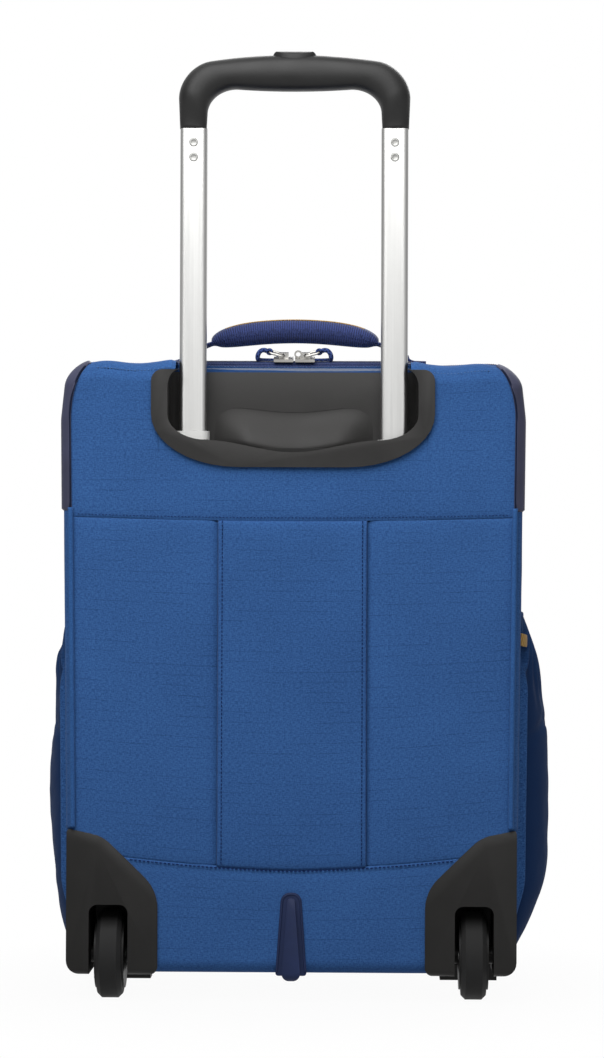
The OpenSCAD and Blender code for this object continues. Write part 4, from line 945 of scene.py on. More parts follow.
def case_outline():
    """The outline of the case seen from behind, in x and z."""
    lean, knee = TOP_HALF - TOP_LEAN, CASE_H - LEAN_H
    corners = [[-BASE_HALF, GROUND_GAP], [-TOP_HALF, knee], [-lean, CASE_H],
               [lean, CASE_H], [TOP_HALF, knee], [BASE_HALF, GROUND_GAP]]
    return rounded_outline(corners, [FOOT_R, LEAN_R, CORNER_R, CORNER_R, LEAN_R, FOOT_R], 24)


def outward(path):
    """Outward normals of a clockwise outline."""
    t = tangents(path)
    return np.stack([-t[:, 1], t[:, 0]], axis=1)


def drawn_in(path, normal, draw, depth):
    """Points beside an outline: drawn in by a distance against its normal, at a depth y."""
    flat = path[:, None, :] - draw[..., None] * normal[:, None, :]
    return np.stack([flat[..., 0], depth, flat[..., 1]], axis=-1)


OUTLINE = resample(case_outline(), OUTLINE_STEP)
NORMAL = outward(OUTLINE)
print("outline:", len(OUTLINE), "points")

# %% [markdown]
# The tray's edge runs from each wheel housing up over the corner. Its profile starts at the piping,
# turns round the edge and runs forward to the zip. The seam leans in towards the top, so the profile
# gets shorter there.

# %% Tray edge
EDGE_T, EDGE_FILL = 2.0, 0.4
EDGE_WAVES, EDGE_WAVE_SIZE = 0.5, 22
TUCK = 1.6


def seam_distance(path, normal):
    """Distance inwards from the outline to the edge seam: the first step of a ray that has crossed it."""
    step = np.linspace(0.6, SEAM_INSET + 4, 80)
    x = np.abs(path[:, :1]) - step * np.abs(normal[:, :1])
    z = path[:, 1:] - step * normal[:, 1:]
    return step[np.argmax(x <= seam_half(z) + 0.1, axis=1)]


def edge_radius(normal_z):
    """The radius of the case's edge: small at the sides, growing to the shoulder's on the top."""
    return EDGE_R + (SHOULDER_R - EDGE_R) * smooth_step(np.abs(normal_z), 0.0, 1.0)[:, None]


def edge_profile(normal_z, start, count=14, far=TRAY_EDGE):
    """Inset and depth along the tray's edge: an arc round the edge, then straight forward to far."""
    radius = edge_radius(normal_z)
    first = np.arcsin(np.clip(1 - start[:, None] / radius, 0, 1))
    angle = first + (math.pi / 2 - first) * np.linspace(0, 1, count)
    inset = radius * (1 - np.sin(angle))
    depth = radius * (1 - np.cos(angle))
    rest = radius + (far - radius) * np.linspace(0, 1, count)[1:]
    return np.hstack([inset, 0 * rest]), np.hstack([depth, rest])


def tray_edge(side, seed):
    """One side of the tray's edge, from the housing to the end of the edge seam on the top."""
    keep = (side * OUTLINE[:, 0] > SEAM_TOP - 3) & (OUTLINE[:, 1] > HOUSING_TOP - 3)
    path, normal = OUTLINE[keep], NORMAL[keep]
    inset, depth = edge_profile(normal[:, 1], seam_distance(path, normal))
    along = np.arange(len(path))[:, None] * OUTLINE_STEP
    waves = soft_noise(along / EDGE_WAVE_SIZE, depth / EDGE_WAVE_SIZE, seed)
    swell = EDGE_WAVES * waves * smooth_step(depth, 4, 16)
    tuck = TUCK * smooth_step(depth, TRAY_EDGE - 4, TRAY_EDGE)
    return settle(drawn_in(path, normal, inset - swell + tuck, depth))


for side, word, seed, node in ((-1, "left", 21, "back_shell"), (1, "right", 23, None)):
    sheet_piece("tray_edge_" + word, tray_edge(side, seed), *BACK_FABRIC, EDGE_T, node, EDGE_FILL, flip=True)
print("tray edges made")

# %% [markdown]
# Between the tubes the cup cuts through the top of the tray. Only a narrow strip of cloth is left
# there: it slopes from the cup's back wall up to the zip and sags a little in the middle.

# %% Strip behind the cup
STRIP_HALF, STRIP_SAG, STRIP_DEEP = 92, 2.6, 4.4
STRIP_WAVES, STRIP_WAVE_SIZE, STRIP_SEED = 0.3, 14, 31
STRIP_STITCH_ROW = 6


def strip_points():
    """A strip across x: y from the cup's back wall to the zip, z rising with a sag in the middle."""
    x, t = np.meshgrid(np.linspace(-STRIP_HALF, STRIP_HALF, 90), np.linspace(0, 1, 10))
    sag = STRIP_SAG * (1 - (x / STRIP_HALF) ** 2)
    y = CUP_HIGH[1] - BACK_Y - 0.5 + STRIP_DEEP * t
    z = CUP_TOP - 1.2 + (CASE_H - CUP_TOP + 0.6) * np.sin(t * math.pi / 2) - sag * (0.4 + 0.6 * t)
    return np.stack([x, y, z + STRIP_WAVES * soft_noise(x / STRIP_WAVE_SIZE, t, STRIP_SEED)], axis=-1)


strip_rows = strip_points()
# Painted shade: the strip's cloth is drawn darker than the body's cloth.
sheet_piece("zip_strip", strip_rows, HEM_AND_SHADE_CLOTH, "case_back", "fabric_main", CLOTH_T)
strip_seam = strip_rows[STRIP_STITCH_ROW] + [0, -0.4, 0.3]
print("strip behind the cup made")

# %% [markdown]
# The front shell is one padded band round the whole case and a front panel. The band starts at the
# zip, or in front of the wheel housings at the lower corners, and its profile turns into the front
# panel round a soft edge.

# %% Front shell
ZIP_SHARE = 0.5
POLE = 0.0001
SHELL_T = 2.6
CUT_X, CUT_Y, CUT_Z = 93, 62.0, 72
SHELL_WAVES, SHELL_WAVE_SIZE, SHELL_SEED, SHELL_TURNS = 0.9, 30, 41, 7
SHELL_CROWN, SHELL_FADE = 1.4, 25
FRONT_IN, FRONT_CROWN, RING_DAMP = 0.6, 2.2, 0.35


def shell_start(path):
    """Depth at which the shell's band starts: at the zip, but in front of the housings low down."""
    x, z = np.abs(path[:, 0]), path[:, 1]
    slope = np.interp(z, [CUT_Z, HOUSING_TOP + 2], [CUT_Y, SHELL_EDGE])
    return np.where((x > CUT_X) & (z < HOUSING_TOP + 2), slope, SHELL_EDGE)


def shell_band():
    """The band: straight from its start to the front edge, then a quarter turn of the edge's radius."""
    path, normal = OUTLINE[:-1], NORMAL[:-1]
    radius = edge_radius(normal[:, 1])
    start = shell_start(path)[:, None]
    straight = start + (CASE_D - radius - start) * np.linspace(0, 1, 46)
    angle = np.linspace(0, math.pi / 2, 10)[1:]
    bend = CASE_D - radius + radius * np.sin(angle)
    depth = np.hstack([straight, bend])
    inset = np.hstack([0 * straight, radius * (1 - np.cos(angle))])
    loop = 2 * math.pi * np.arange(len(path))[:, None] / len(path)
    waves = soft_noise(SHELL_TURNS * np.cos(loop) + 0 * depth,
                       SHELL_TURNS * np.sin(loop) + depth / SHELL_WAVE_SIZE, SHELL_SEED)
    crown = SHELL_CROWN * np.sin(math.pi * np.clip((depth - start) / (CASE_D - start), 0, 1))
    swell = (SHELL_WAVES * waves + crown) * smooth_step(depth - start, 0, SHELL_FADE)
    tuck = TUCK * (1 - smooth_step(depth - start, 0, 5))
    return settle(drawn_in(path, normal, inset - swell * (depth < CASE_D - radius) + tuck, depth), ZIP_SHARE)


def shell_front(edge):
    """The front panel: the band's last ring drawn in to the centre, its corners rounder ring by ring.

    Each ring is the outline's Fourier series with its n-th wave damped by e^(-(n x way in x damp)^2)."""
    middle = (CASE_H + GROUND_GAP) / 2
    scale = np.linspace(1, POLE, 40)
    waves = np.fft.fft(edge[:, 0] + 1j * (edge[:, 2] - middle))
    order = np.abs(np.fft.fftfreq(len(edge)) * len(edge))
    damp = np.exp(-(order[:, None] * (1 - scale) * RING_DAMP) ** 2)
    rings = np.fft.ifft(waves[:, None] * damp, axis=0) * scale
    crown = CASE_D - FRONT_IN + FRONT_CROWN * (1 - scale ** 6) * (1 - 0.12 * scale)
    return np.stack([rings.real, crown + 0 * rings.real, rings.imag + middle], axis=-1)


band_points = shell_band()
sheet_piece("shell_band", band_points, *FRONT_FABRIC, SHELL_T, "front_shell", EDGE_FILL, loop_rows=True,
            flip=True)
front_points = shell_front(band_points[:, -1])
sheet_piece("front_panel", front_points, *FRONT_FABRIC, SHELL_T, fill=EDGE_FILL, loop_rows=True, flip=True,
            cut=front_points[..., [0, 2]])
print("front shell made")

# %% [markdown]
# The zip stops above the housings. Below it the halves stay joined by a strip of cloth, sewn to the
# bottom of both, on which the front folds open. The strip is flat when the case is shut. Its back
# edge follows the tray and its front edge the front shell, and the cloth between turns by degrees.

# %% Fold strip
FOLD_HALF, FOLD_LAP, FOLD_IN, FOLD_T = 91.0, 6.0, 3.2, 1.0
x, y = np.meshgrid(np.linspace(-FOLD_HALF, FOLD_HALF, 60),
                   np.linspace(TRAY_EDGE - FOLD_LAP, SHELL_EDGE + FOLD_LAP, 40), indexing="ij")
fold_points = np.stack([x, y, np.full_like(x, GROUND_GAP + FOLD_IN)], axis=-1)
fold_strip = sheet_piece("fold_strip", fold_points, BODY_CLOTH, None, "fabric_main", FOLD_T)
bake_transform(fold_strip)
print("fold strip made,", round(SHELL_EDGE - TRAY_EDGE, 1), "mm of it free")

# %% [markdown]
# ## Stitches
# A row of stitches is one tiny thread bump repeated along a line. The bump has a few dozen faces, and
# all copies are placed at once by broadcasting: centre + along x thread + out x rise.

# %% Stitch rows
STITCH_SIDES, STITCH_RINGS = 6, 5
OVERLAY_STITCH_IN, OVERLAY_STITCH_Y, SEAM_STITCH_Y = 3.4, -2.15, -0.55


def stitch_shape(length, radius):
    """One stitch: a short tube that dips into the cloth at both ends, as rows of rings."""
    t = np.linspace(-1, 1, STITCH_RINGS)
    swell = np.sqrt(np.maximum(1 - t ** 4, 0.02))
    angle = np.linspace(0, 2 * math.pi, STITCH_SIDES, endpoint=False)
    along = np.repeat(t * length / 2, STITCH_SIDES)
    out = (radius * swell[:, None] * np.cos(angle) + 0.35 * radius * (1 - t ** 2)[:, None]).ravel()
    across = (radius * swell[:, None] * np.sin(angle)).ravel()
    return np.stack([along, out, across], axis=1)


def stitch_row(name, lines, pitch, length, radius, out, thread, reach=0.0):
    """Stitches along several lines on the back; out is the direction away from the cloth."""
    shape = stitch_shape(length, radius)
    evens = [resample(np.asarray(line, float), pitch) for line in lines]
    centres, along = np.vstack(evens), np.vstack([tangents(even) for even in evens])
    out = np.broadcast_to(np.asarray(out, float), centres.shape)
    out = out - np.sum(out * along, axis=1, keepdims=True) * along
    out = out / np.linalg.norm(out, axis=1, keepdims=True)
    side = np.cross(along, out)
    centres = centres + reach * out
    points = (centres[:, None] + shape[:, 0, None] * along[:, None] + shape[:, 1, None] * out[:, None]
              + shape[:, 2, None] * side[:, None])
    r, c = np.meshgrid(np.arange(STITCH_RINGS - 1), np.arange(STITCH_SIDES), indexing="ij")
    here, there = r * STITCH_SIDES, (r + 1) * STITCH_SIDES
    c2 = (c + 1) % STITCH_SIDES
    quads = np.stack([here + c, here + c2, there + c2, there + c], axis=-1).reshape(-1, 4)
    first = np.arange(len(centres)) * STITCH_RINGS * STITCH_SIDES
    faces = (quads[None] + first[:, None, None]).reshape(-1, 4)
    round_it = np.stack([c, c + 1, c + 1, c], axis=-1) * radius * MM
    down_it = np.stack([r, r, r + 1, r + 1], axis=-1) * length * MM / STITCH_RINGS
    uv = np.tile(np.stack([round_it, down_it], axis=-1).ravel(), len(centres))
    return piece(name, mesh_of(name, points, faces.tolist(), uv), thread, "case_back")


heights = np.linspace(0, 1, 60)
overlay_lines = []
for side in (-1, 1):
    x = np.full(60, side * (OVERLAY_HALF - OVERLAY_STITCH_IN))
    low, high = lower_seam(x) + 3, upper_seam(x) - 1
    overlay_lines.append(points_of(x, OVERLAY_STITCH_Y, low + (high - low) * heights))
stitch_row("overlay_stitches", overlay_lines, 2.7, 2.0, 0.42, BEHIND, THREAD)
x = np.linspace(-112, 112, 80)
lower_line = points_of(x, SEAM_STITCH_Y, lower_seam(x) - 0.5)
stitch_row("lower_seam_stitches", [lower_line], 2.9, 2.3, 0.5, BEHIND, THREAD)
x = np.linspace(-150, 150, 80)
upper_line = points_of(x, SEAM_STITCH_Y, upper_seam(x) + 2.2)
stitch_row("upper_seam_stitches", [upper_line], 2.4, 1.6, 0.28, BEHIND, THREAD)
shoulder_y, shoulder_z, out_y, out_z = over_shoulder(np.array(SHOULDER_LOW + 0.62 * SHOULDER_R))
beside = np.linspace(RETURN_IN + 5, SEAM_TOP - 3, 60)
shoulder_lines = [settle(points_of(side * beside, shoulder_y + out_y, shoulder_z + out_z))
                  for side in (-1, 1)]
stitch_row("shoulder_stitches", shoulder_lines, 2.2, 1.5, 0.4, (0, out_y, out_z), PALE_THREAD, reach=0.3)
stitch_row("strip_stitches", [strip_seam], 2.2, 1.4, 0.38, (0, -0.7, 0.7), PALE_THREAD)
print("stitch rows made")

# %% [markdown]
# ## Piping and corner guards
# Piping is a cord wrapped in the body's own cloth and caught in the edge seam. The guards are vinyl
# pieces moulded over the upper corners of the tray, where a falling bag lands.

# %% Piping
PIPING_R = 2.0
FIRM_FILL = 0.8
GUARD_LOW = 343.0


def piping_line(side):
    """The edge seam from the housing up to the corner guard, which covers the rest of it."""
    z = np.linspace(HOUSING_TOP + 1, GUARD_LOW + 3, 140)
    return points_of(side * seam_half(z), -0.75 * PIPING_R, z)


for side, word in SIDES:
    swept_piece("piping_cord_" + word, piping_line(side), FORWARD, circle(PIPING_R, 14), PIPING_CLOTH,
                "case_back", "piping_navy", node="piping_" + word, fill=FIRM_FILL)
print("piping made")

# %% [markdown]
# A guard is the tray's own edge surface, lifted by the thickness of its vinyl. It thins to nothing at
# its rim, and a soft lip rolls over the edge seam beside it.

# %% Corner guards
GUARD_T, GUARD_REACH, GUARD_RIM, GUARD_FACE = 1.2, 18.0, 1.6, 4
LIP_AT, LIP_RISE, LIP_WIDTH = 1.6, 0.9, 1.1
# The near-black cord along the edge seam beside each guard is painted shade: the dark gap between guard and
# cloth.
GAP_SHADE_R = 0.75


def corner_guard(side):
    """The tray's edge surface lifted by the vinyl's thickness; its lip rolls over the edge seam."""
    fine = resample(case_outline(), 1.5)
    keep = (side * fine[:, 0] > SEAM_TOP + 2) & (fine[:, 1] > GUARD_LOW)
    path, normal = fine[keep], outward(fine)[keep]
    inset, depth = edge_profile(normal[:, 1], seam_distance(path, normal) + 0.8, count=22, far=GUARD_REACH)
    along = walk_along(path)[:, None]
    ends = np.minimum(along, along[-1] - along)
    rim = np.clip(np.minimum(ends, GUARD_REACH - depth) / GUARD_RIM, 0, 1)
    lift = (GUARD_T + 0.5) * np.sqrt(np.clip(1 - (1 - rim) ** 2, 0, 1)) - 0.1
    facing = smooth_step(inset, 0, GUARD_FACE)
    from_lip = inset.max(axis=1, keepdims=True) - inset
    lip = LIP_RISE * np.exp(-((from_lip - LIP_AT) / LIP_WIDTH) ** 2) * smooth_step(ends, 0, 6)
    return settle(drawn_in(path, normal, inset - lift * (1 - facing), depth - (0.8 * lift + lip) * facing))


def guard_gap_shade(side):
    """The edge seam beside the guard, from its foot up to the corner: the line of a dark cord that is
    painted shade for the gap there.
    """
    z = np.linspace(GUARD_LOW + 1, CASE_H - 3, 120)
    y = SHOULDER_R - np.sqrt(SHOULDER_R ** 2 - np.maximum(z - SHOULDER_LOW, 0) ** 2)
    return settle(points_of(side * (seam_half(z) + 0.2), y - 0.9, z))


for side, word in SIDES:
    sheet_piece("guard_" + word, corner_guard(side), GUARD_VINYL, "case_back", "vinyl_guard", GUARD_T,
                "corner_guard_" + word, flip=True)
    # Painted shade: a thin dark cord along the seam stands for the dark gap beside the guard.
    swept_piece("guard_gap_shade_" + word, guard_gap_shade(side), (side, 0, 0), circle(GAP_SHADE_R, 8), SEAM_SHADE,
                "case_back", "vinyl_guard")
print("corner guards made")

# %% [markdown]
# ## The main zip
# Two woven tapes run along the mouth of the tray and of the shell; each carries a plastic coil, and
# the two coils mesh. A coil seen from a step away is a ribbed cord, so its radius is a sine along
# the path. Over the cup the zip leans back, because the strip under it is drawn down.

# %% Zip
COIL_PITCH, COIL_SHIFT, COIL_RISE = 1.5, 1.3, 0.15
ZIP_FOOT = HOUSING_TOP + 2.0
LEAN_NONE, LEAN_FULL, ZIP_LEAN = -112, -84, math.radians(48)
LEAN_BACK, LEAN_DOWN = 1.0, 1.6
TAPE_IN, TAPE_OUT, TAPE_DROP, TAPE_SINK, TAPE_T = 0.2, 5.2, 1.0, 0.35, 0.6


def lean(x, z):
    """How far the zip leans back: 1 over the cup, 0 at the sides, with a soft change between."""
    return smooth_step(-np.abs(x), LEAN_NONE, LEAN_FULL) * smooth_step(z, CASE_H - 12, CASE_H - 4)


def zip_path(step):
    """The zip's line along the case outline and its outward direction, leaning back over the cup."""
    fine = resample(case_outline(), step)
    keep = fine[:, 1] > ZIP_FOOT
    flat, normal = fine[keep], outward(fine)[keep]
    back = lean(flat[:, 0], flat[:, 1])
    path = settle(points_of(flat[:, 0], ZIP_Y - LEAN_BACK * back, flat[:, 1] - LEAN_DOWN * back), ZIP_SHARE)
    angle = back * ZIP_LEAN
    return path, points_of(normal[:, 0] * np.cos(angle), -np.sin(angle), normal[:, 1] * np.cos(angle))


def ribs(walked, phase=0.0):
    """A value from 0 to 1 and back for each turn of a coil."""
    return 0.5 + 0.5 * np.sin(2 * math.pi * walked / COIL_PITCH + phase)


def zip_coil(shift, phase):
    """One coil: its line, its outward direction and a small oval whose size has a rib for each turn."""
    path, out = zip_path(0.375)
    path = path + shift * np.cross(tangents(path), out) + COIL_RISE * out
    rib = ribs(walk_along(path), phase)
    return path, out, oval(0.7 + 0.45 * rib, 1.2 + 0.3 * rib, 8)


def zip_tape(side):
    """One tape: a flat band beside the coil, from its inner to its outer distance across the zip."""
    path, out = zip_path(1.5)
    across = np.cross(tangents(path), out)
    t = np.linspace(0, 1, 6)
    reach = side * (TAPE_IN + (TAPE_OUT - TAPE_IN) * t)
    fall = TAPE_DROP * t ** 2 + TAPE_SINK
    return path[:, None] + reach[:, None] * across[:, None] - fall[:, None] * out[:, None]


for word, side, phase, body in (("back", 1, 0.0, "case_back"), ("front", -1, math.pi, "front")):
    swept_piece("zip_" + word + "_coil", *zip_coil(side * COIL_SHIFT, phase), COIL_PLASTIC, body, "zip_navy")
    sheet_piece("zip_" + word + "_tape", zip_tape(side), ZIP_TAPE, body, "zip_navy", TAPE_T,
                "zip_tape_" + word, flip=side > 0)
print("zip made")

# %% [markdown]
# ## Side pockets
# Each side has a patch pocket of thinner cloth. Its sides are pleated so that it can bulge, and an
# elastic gathers its mouth. The sheet is a grid over depth and height: its distance from the wall is
# a bulge over height times a rounded profile over depth, less a pleat's valley, plus gathers that
# fade in towards the mouth.

# %% Side pockets
POCKET_BACK, POCKET_FRONT = ZIP_Y + 5.0, ZIP_Y + 96.0
POCKET_LOW, POCKET_TOP = 34.0, 272.0
POCKET_T, POCKET_FILL, POCKET_OFF = 1.2, 0.1, 0.4
PLEAT, PLEAT_OUT, PLEAT_WIDTH, PLEATS_AT = 0.1, 7.2, 0.03, (0.055, 0.945)
MOUTH_FROM, MOUTH_TO = 215, 258
GATHERS, GATHER_PITCH, GATHER_FROM, GATHER_FULL = 2.0, 9.5, 196, 254
SAG_DEEP, CREASE_DEEP = 1.1, 2.4
CREASE_Z, CREASE_U, CREASE_SLOPE, CREASE_WIDTH = 197, 0.36, 60, 5
HEM_DROP, HEM_SECTION = 1.0, oval(0.9, 2.2, 10)
BULGE_RIGHT = np.array([[34, 3.0], [48, 11.0], [72, 20.0], [100, 24.6], [150, 25.2], [185, 24.2],
                        [197, 21.4], [233, 15.0], [255, 8.4], [272, 2.2]])
BULGE_LEFT = np.array([[34, 2.5], [48, 8.8], [88, 15.6], [141, 18.0], [172, 17.2], [212, 13.4],
                       [238, 10.6], [248, 6.2], [262, 3.0], [272, 2.0]])


def bulge_at(table, z):
    """The bulge at a height: a smooth line through a few measured places."""
    line = smooth_line(table, 3.0)
    return np.interp(z, line[:, 0], line[:, 1])


def pocket_sheet(side, table, seed):
    """Points over depth u and height z, with bulge, pleats, a V crease and gathers, and a painted light
    level for each.
    """
    u, z = np.meshgrid(np.linspace(0, 1, 170), np.linspace(POCKET_LOW, POCKET_TOP, 140))
    mouth = smooth_step(z, MOUTH_FROM, MOUTH_TO)
    pleat = PLEAT * (1 - mouth)
    v = np.clip((u - pleat) / (1 - 2 * pleat), 0, 1)
    dome = (1 - np.abs(2 * v - 1) ** 2.6) ** 0.6
    y = POCKET_BACK + (POCKET_FRONT - POCKET_BACK) * u
    strip = sum(np.exp(-((u - at) / PLEAT_WIDTH) ** 2) for at in PLEATS_AT)
    tall = smooth_step(z, 46, 84) * (1 - mouth)
    wander = y + 2.2 * np.sin(z / 17 + seed)
    gathers = np.sin(2 * math.pi * wander / GATHER_PITCH + 1.6 * np.sin(y / 11 + seed))
    flatter = 1 - 0.7 * smooth_step(z, GATHER_FULL, POCKET_TOP)
    near_mouth = smooth_step(z, GATHER_FROM, GATHER_FULL) * flatter
    sag = soft_noise(u * 5 + seed, z / 24, seed) + 0.5 * soft_noise(u * 11, z / 9 + u * 4, seed + 1)
    crease = np.exp(-((z - CREASE_Z + CREASE_SLOPE * np.abs(u - CREASE_U)) / CREASE_WIDTH) ** 2)
    crease = crease * (1 - smooth_step(u, 0.6, 0.75))
    folds = GATHERS * gathers * near_mouth + SAG_DEEP * sag - CREASE_DEEP * crease
    out = bulge_at(table, z) * dome + PLEAT_OUT * strip * tall
    out = out + folds * np.sqrt(dome) * smooth_step(z, 40, 70)
    x = side * (wall_half(z) + POCKET_OFF + np.maximum(out, 0.0))
    ends = np.minimum(u, 1 - u)
    # Painted light and shade: the bulge is darker; the pleat strips, the mouth and the gather crests are
    # lighter.
    lit = np.maximum((1 - smooth_step(ends, 0.06, 0.1)) * (1 - mouth), 0.14 * smooth_step(v, 0.12, 0.5))
    lit = lit + (1 - lit) * (0.2 * smooth_step(z, 236, 262) + 0.1 * (gathers > 0) * near_mouth)
    return np.stack([x, y, z], axis=-1), lit


for side, word, table, seed in ((-1, "left", BULGE_LEFT, 51), (1, "right", BULGE_RIGHT, 57)):
    sheet, lit = pocket_sheet(side, table, seed)
    pocket = sheet_piece("pocket_" + word, sheet, POCKET_CLOTH, "front", "fabric_pocket", POCKET_T,
                         "side_pocket_" + word, POCKET_FILL, flip=side < 0)
    # The "fold" attribute holds this painted light and shade for the pocket cloth.
    shade = pocket.data.attributes.new("fold", "FLOAT", "POINT")
    shade.data.foreach_set("value", lit.astype(np.float32).ravel())
    hem_line = resample(sheet[-1] - [0, 0, HEM_DROP], 1.2)
    swept_piece("pocket_hem_" + word, hem_line, (side, 0, 0), HEM_SECTION, HEM_AND_SHADE_CLOTH, "front",
                "fabric_pocket")
    print("pocket", word, "reaches", round(float(np.abs(sheet[..., 0]).max()), 1), "mm from the middle")

# %% [markdown]
# A tan tape binds the back end of the right pocket's mouth to the seam: a short folded loop.

# %% Tan tape
TAPE_ROUTE = np.array([[158.6, 2.0, 254.2], [160.6, -0.8, 254.0], [163.0, -1.6, 253.4], [165.4, 0.4, 252.8],
                       [166.2, 4.0, 252.6]])
TAPE_SECTION = oval(4.4, 0.6, 16, 3.5)
tape_line = smooth_line(TAPE_ROUTE + [0, POCKET_BACK, 0], 0.6)
swept_piece("tan_loop", tape_line, UPWARD, TAPE_SECTION, TAN_TAPE, "front", "tape_tan", node="pocket_tape")
print("tan tape made")

# %% [markdown]
# ## The front pocket
# The front isn't in the photograph. Bags of this kind carry a flat zipped pocket there: a gusset
# round a rounded rectangle, and a padded face. One outline is carried through rings: up the gusset,
# round a soft edge and in to the middle.

# %% Front pocket
FP_LOW, FP_HIGH = node_box("front_pocket")
FP_R, FP_T = 24.0, 1.4
FP_DEEP = FP_HIGH[1] - FP_LOW[1]
GUSSET, TURN, FACE = 0.84, 0.12, 0.97
GUSSET_SWELL, TURN_IN, FACE_CROWN = 0.006, 0.03, 0.1
FACE_WAVES, FACE_WAVE_SIZE, FACE_SEED = 0.9, 38, 71
ZIP_LOW, ZIP_HIGH = node_box("pocket_zip")
ZIP_TAPE_HALF, ZIP_TAPE_ARCH = 5, 0.02


def pocket_outline():
    """The pocket's rounded rectangle, in x and z."""
    low, high = FP_LOW[[0, 2]], FP_HIGH[[0, 2]]
    corners = [[low[0], low[1]], [low[0], high[1]], [high[0], high[1]], [high[0], low[1]]]
    return resample(rounded_outline(corners, [FP_R] * 4, 14), 3.0)[:-1]


def front_pocket_points():
    """Rings of the outline: out along the gusset, a rounded edge, then the face shrunk to its middle."""
    ring = pocket_outline()
    centre = np.array([0.0, (FP_LOW[2] + FP_HIGH[2]) / 2])
    gusset = np.linspace(0, GUSSET, 9)
    turn = np.linspace(0, math.pi / 2, 7)[1:]
    face = np.linspace(FACE, POLE, 34)[1:]
    depth = np.concatenate([gusset, GUSSET + TURN * np.sin(turn),
                            GUSSET + TURN + FACE_CROWN * (1 - face ** 4)]) * FP_DEEP
    shrink = np.concatenate([1 + GUSSET_SWELL * np.sin(math.pi * gusset / GUSSET),
                             1 - TURN_IN * (1 - np.cos(turn)), face])
    flat = centre + (ring[:, None, :] - centre) * shrink[None, :, None]
    waves = soft_noise(flat[..., 0] / FACE_WAVE_SIZE, flat[..., 1] / FACE_WAVE_SIZE, FACE_SEED)
    waves = FACE_WAVES * waves * smooth_step(shrink, 1.0, 0.8)[None, :]
    y = CASE_D + 0.6 + depth[None, :] + waves
    away = (ring - centre) / np.linalg.norm(ring - centre, axis=1, keepdims=True)
    cut = flat + away[:, None, :] * np.maximum(FP_DEEP - depth, 0)[None, :, None]
    return np.stack([flat[..., 0], y, flat[..., 1]], axis=-1), cut


points, cut = front_pocket_points()
sheet_piece("front_pocket_cloth", points, *FRONT_FABRIC, FP_T, "front_pocket", PANEL_FILL, loop_rows=True,
            flip=True, cut=cut)
x = np.linspace(ZIP_LOW[0], ZIP_HIGH[0], 500)
zip_mid = (ZIP_LOW[1] + ZIP_HIGH[1]) / 2 - BACK_Y
rib = ribs(x)
swept_piece("pocket_zip_coil", points_of(x, zip_mid, ZIP_HIGH[2] - 0.2), UPWARD,
            oval(0.5 + 0.25 * rib, 1.5 + 0.3 * rib, 8), COIL_PLASTIC, "front", "zip_navy")
s, t = np.meshgrid(x[::5], np.linspace(-ZIP_TAPE_HALF, ZIP_TAPE_HALF, 7))
points = points_of(s, zip_mid + t, ZIP_HIGH[2] + 0.25 - ZIP_TAPE_ARCH * t ** 2)
sheet_piece("pocket_zip_tape", points, ZIP_TAPE, "front", "zip_navy", TAPE_T, "pocket_zip")
print("front pocket made")

# %% [markdown]
# ## The carry handle
# A strap of ribbed webbing is folded over a foam core and closed with a zigzag seam. Its lower side
# is nearly straight and its upper side arched; at both ends it thins to the flat strap, which goes
# down to the anchors sewn on the top.

# %% Carry handle
HANDLE_Y = 62.0
HANDLE_HALF = 81.0
PAD_HALF = 59.0
PAD_FOOT, PAD_THICK = 466.0, 16.9
PAD_DROOP, STRAP_FALL = 6.2, 9.8
STRAP_T = 2.8
STRAP_HALF_W, PAD_WIDER, END_NARROWER = 11.0, 2.2, 2.4
ZIGZAG_HALF, ZIGZAG_POINTS, ZIGZAG_RISE, ZIGZAG_R = 54, 109, 2.2, 0.32
EDGE_HALF, EDGE_CORD_R = 50, 0.4
ANCHOR_ROUTE = np.array([[13, 451.6], [8, 451.7], [4, 452.0], [0.6, 453.6], [-0.6, 456.6]])
ANCHOR_SECTION = oval(11.2, 1.3, 20, 4)


def handle_shape(x):
    """Middle height, half thickness and half width of the handle at x."""
    inside = np.clip(1 - np.abs(x / PAD_HALF) ** 5, 0, 1) ** 0.5
    thick = STRAP_T + (PAD_THICK - STRAP_T) * inside
    droop = PAD_DROOP * np.minimum(np.abs(x) / PAD_HALF, 1) ** 2
    foot = PAD_FOOT - droop - STRAP_FALL * smooth_step(np.abs(x), PAD_HALF - 5, HANDLE_HALF) ** 1.2
    foot = foot + (PAD_THICK - STRAP_T) * 0.35 * (1 - inside)
    narrower = END_NARROWER * smooth_step(np.abs(x), PAD_HALF + 8, HANDLE_HALF)
    return foot + thick / 2, thick / 2, STRAP_HALF_W + PAD_WIDER * inside - narrower


x = np.linspace(-HANDLE_HALF, HANDLE_HALF, 220)
middle, thick, width = handle_shape(x)
swept_piece("handle_pad", points_of(x, HANDLE_Y, middle), FORWARD, oval(width, thick, 32, 2.5), WEBBING,
            "carry", "webbing_navy", node="carry_handle", fill=FIRM_FILL)

x = np.linspace(-ZIGZAG_HALF, ZIGZAG_HALF, ZIGZAG_POINTS)
middle, thick, width = handle_shape(x)
saw = np.where(np.arange(ZIGZAG_POINTS) % 2 == 0, 1.0, -1.0) * np.minimum(ZIGZAG_RISE, 0.3 * thick)
seam = points_of(x, HANDLE_Y - width - 0.05 + 0.02 * saw ** 2, middle - 0.5 + saw)
swept_piece("handle_zigzag", resample(seam, 0.6), FORWARD, circle(ZIGZAG_R, 6), WEBBING_THREAD, "carry",
            "webbing_navy")

x = np.linspace(-EDGE_HALF, EDGE_HALF, 120)
middle, thick, width = handle_shape(x)
edge = points_of(x, HANDLE_Y - 0.62 * width, middle + 0.9 * thick + 0.1)
swept_piece("handle_edge", edge, FORWARD, circle(EDGE_CORD_R, 8), TAN_TAPE, "carry", "webbing_navy")

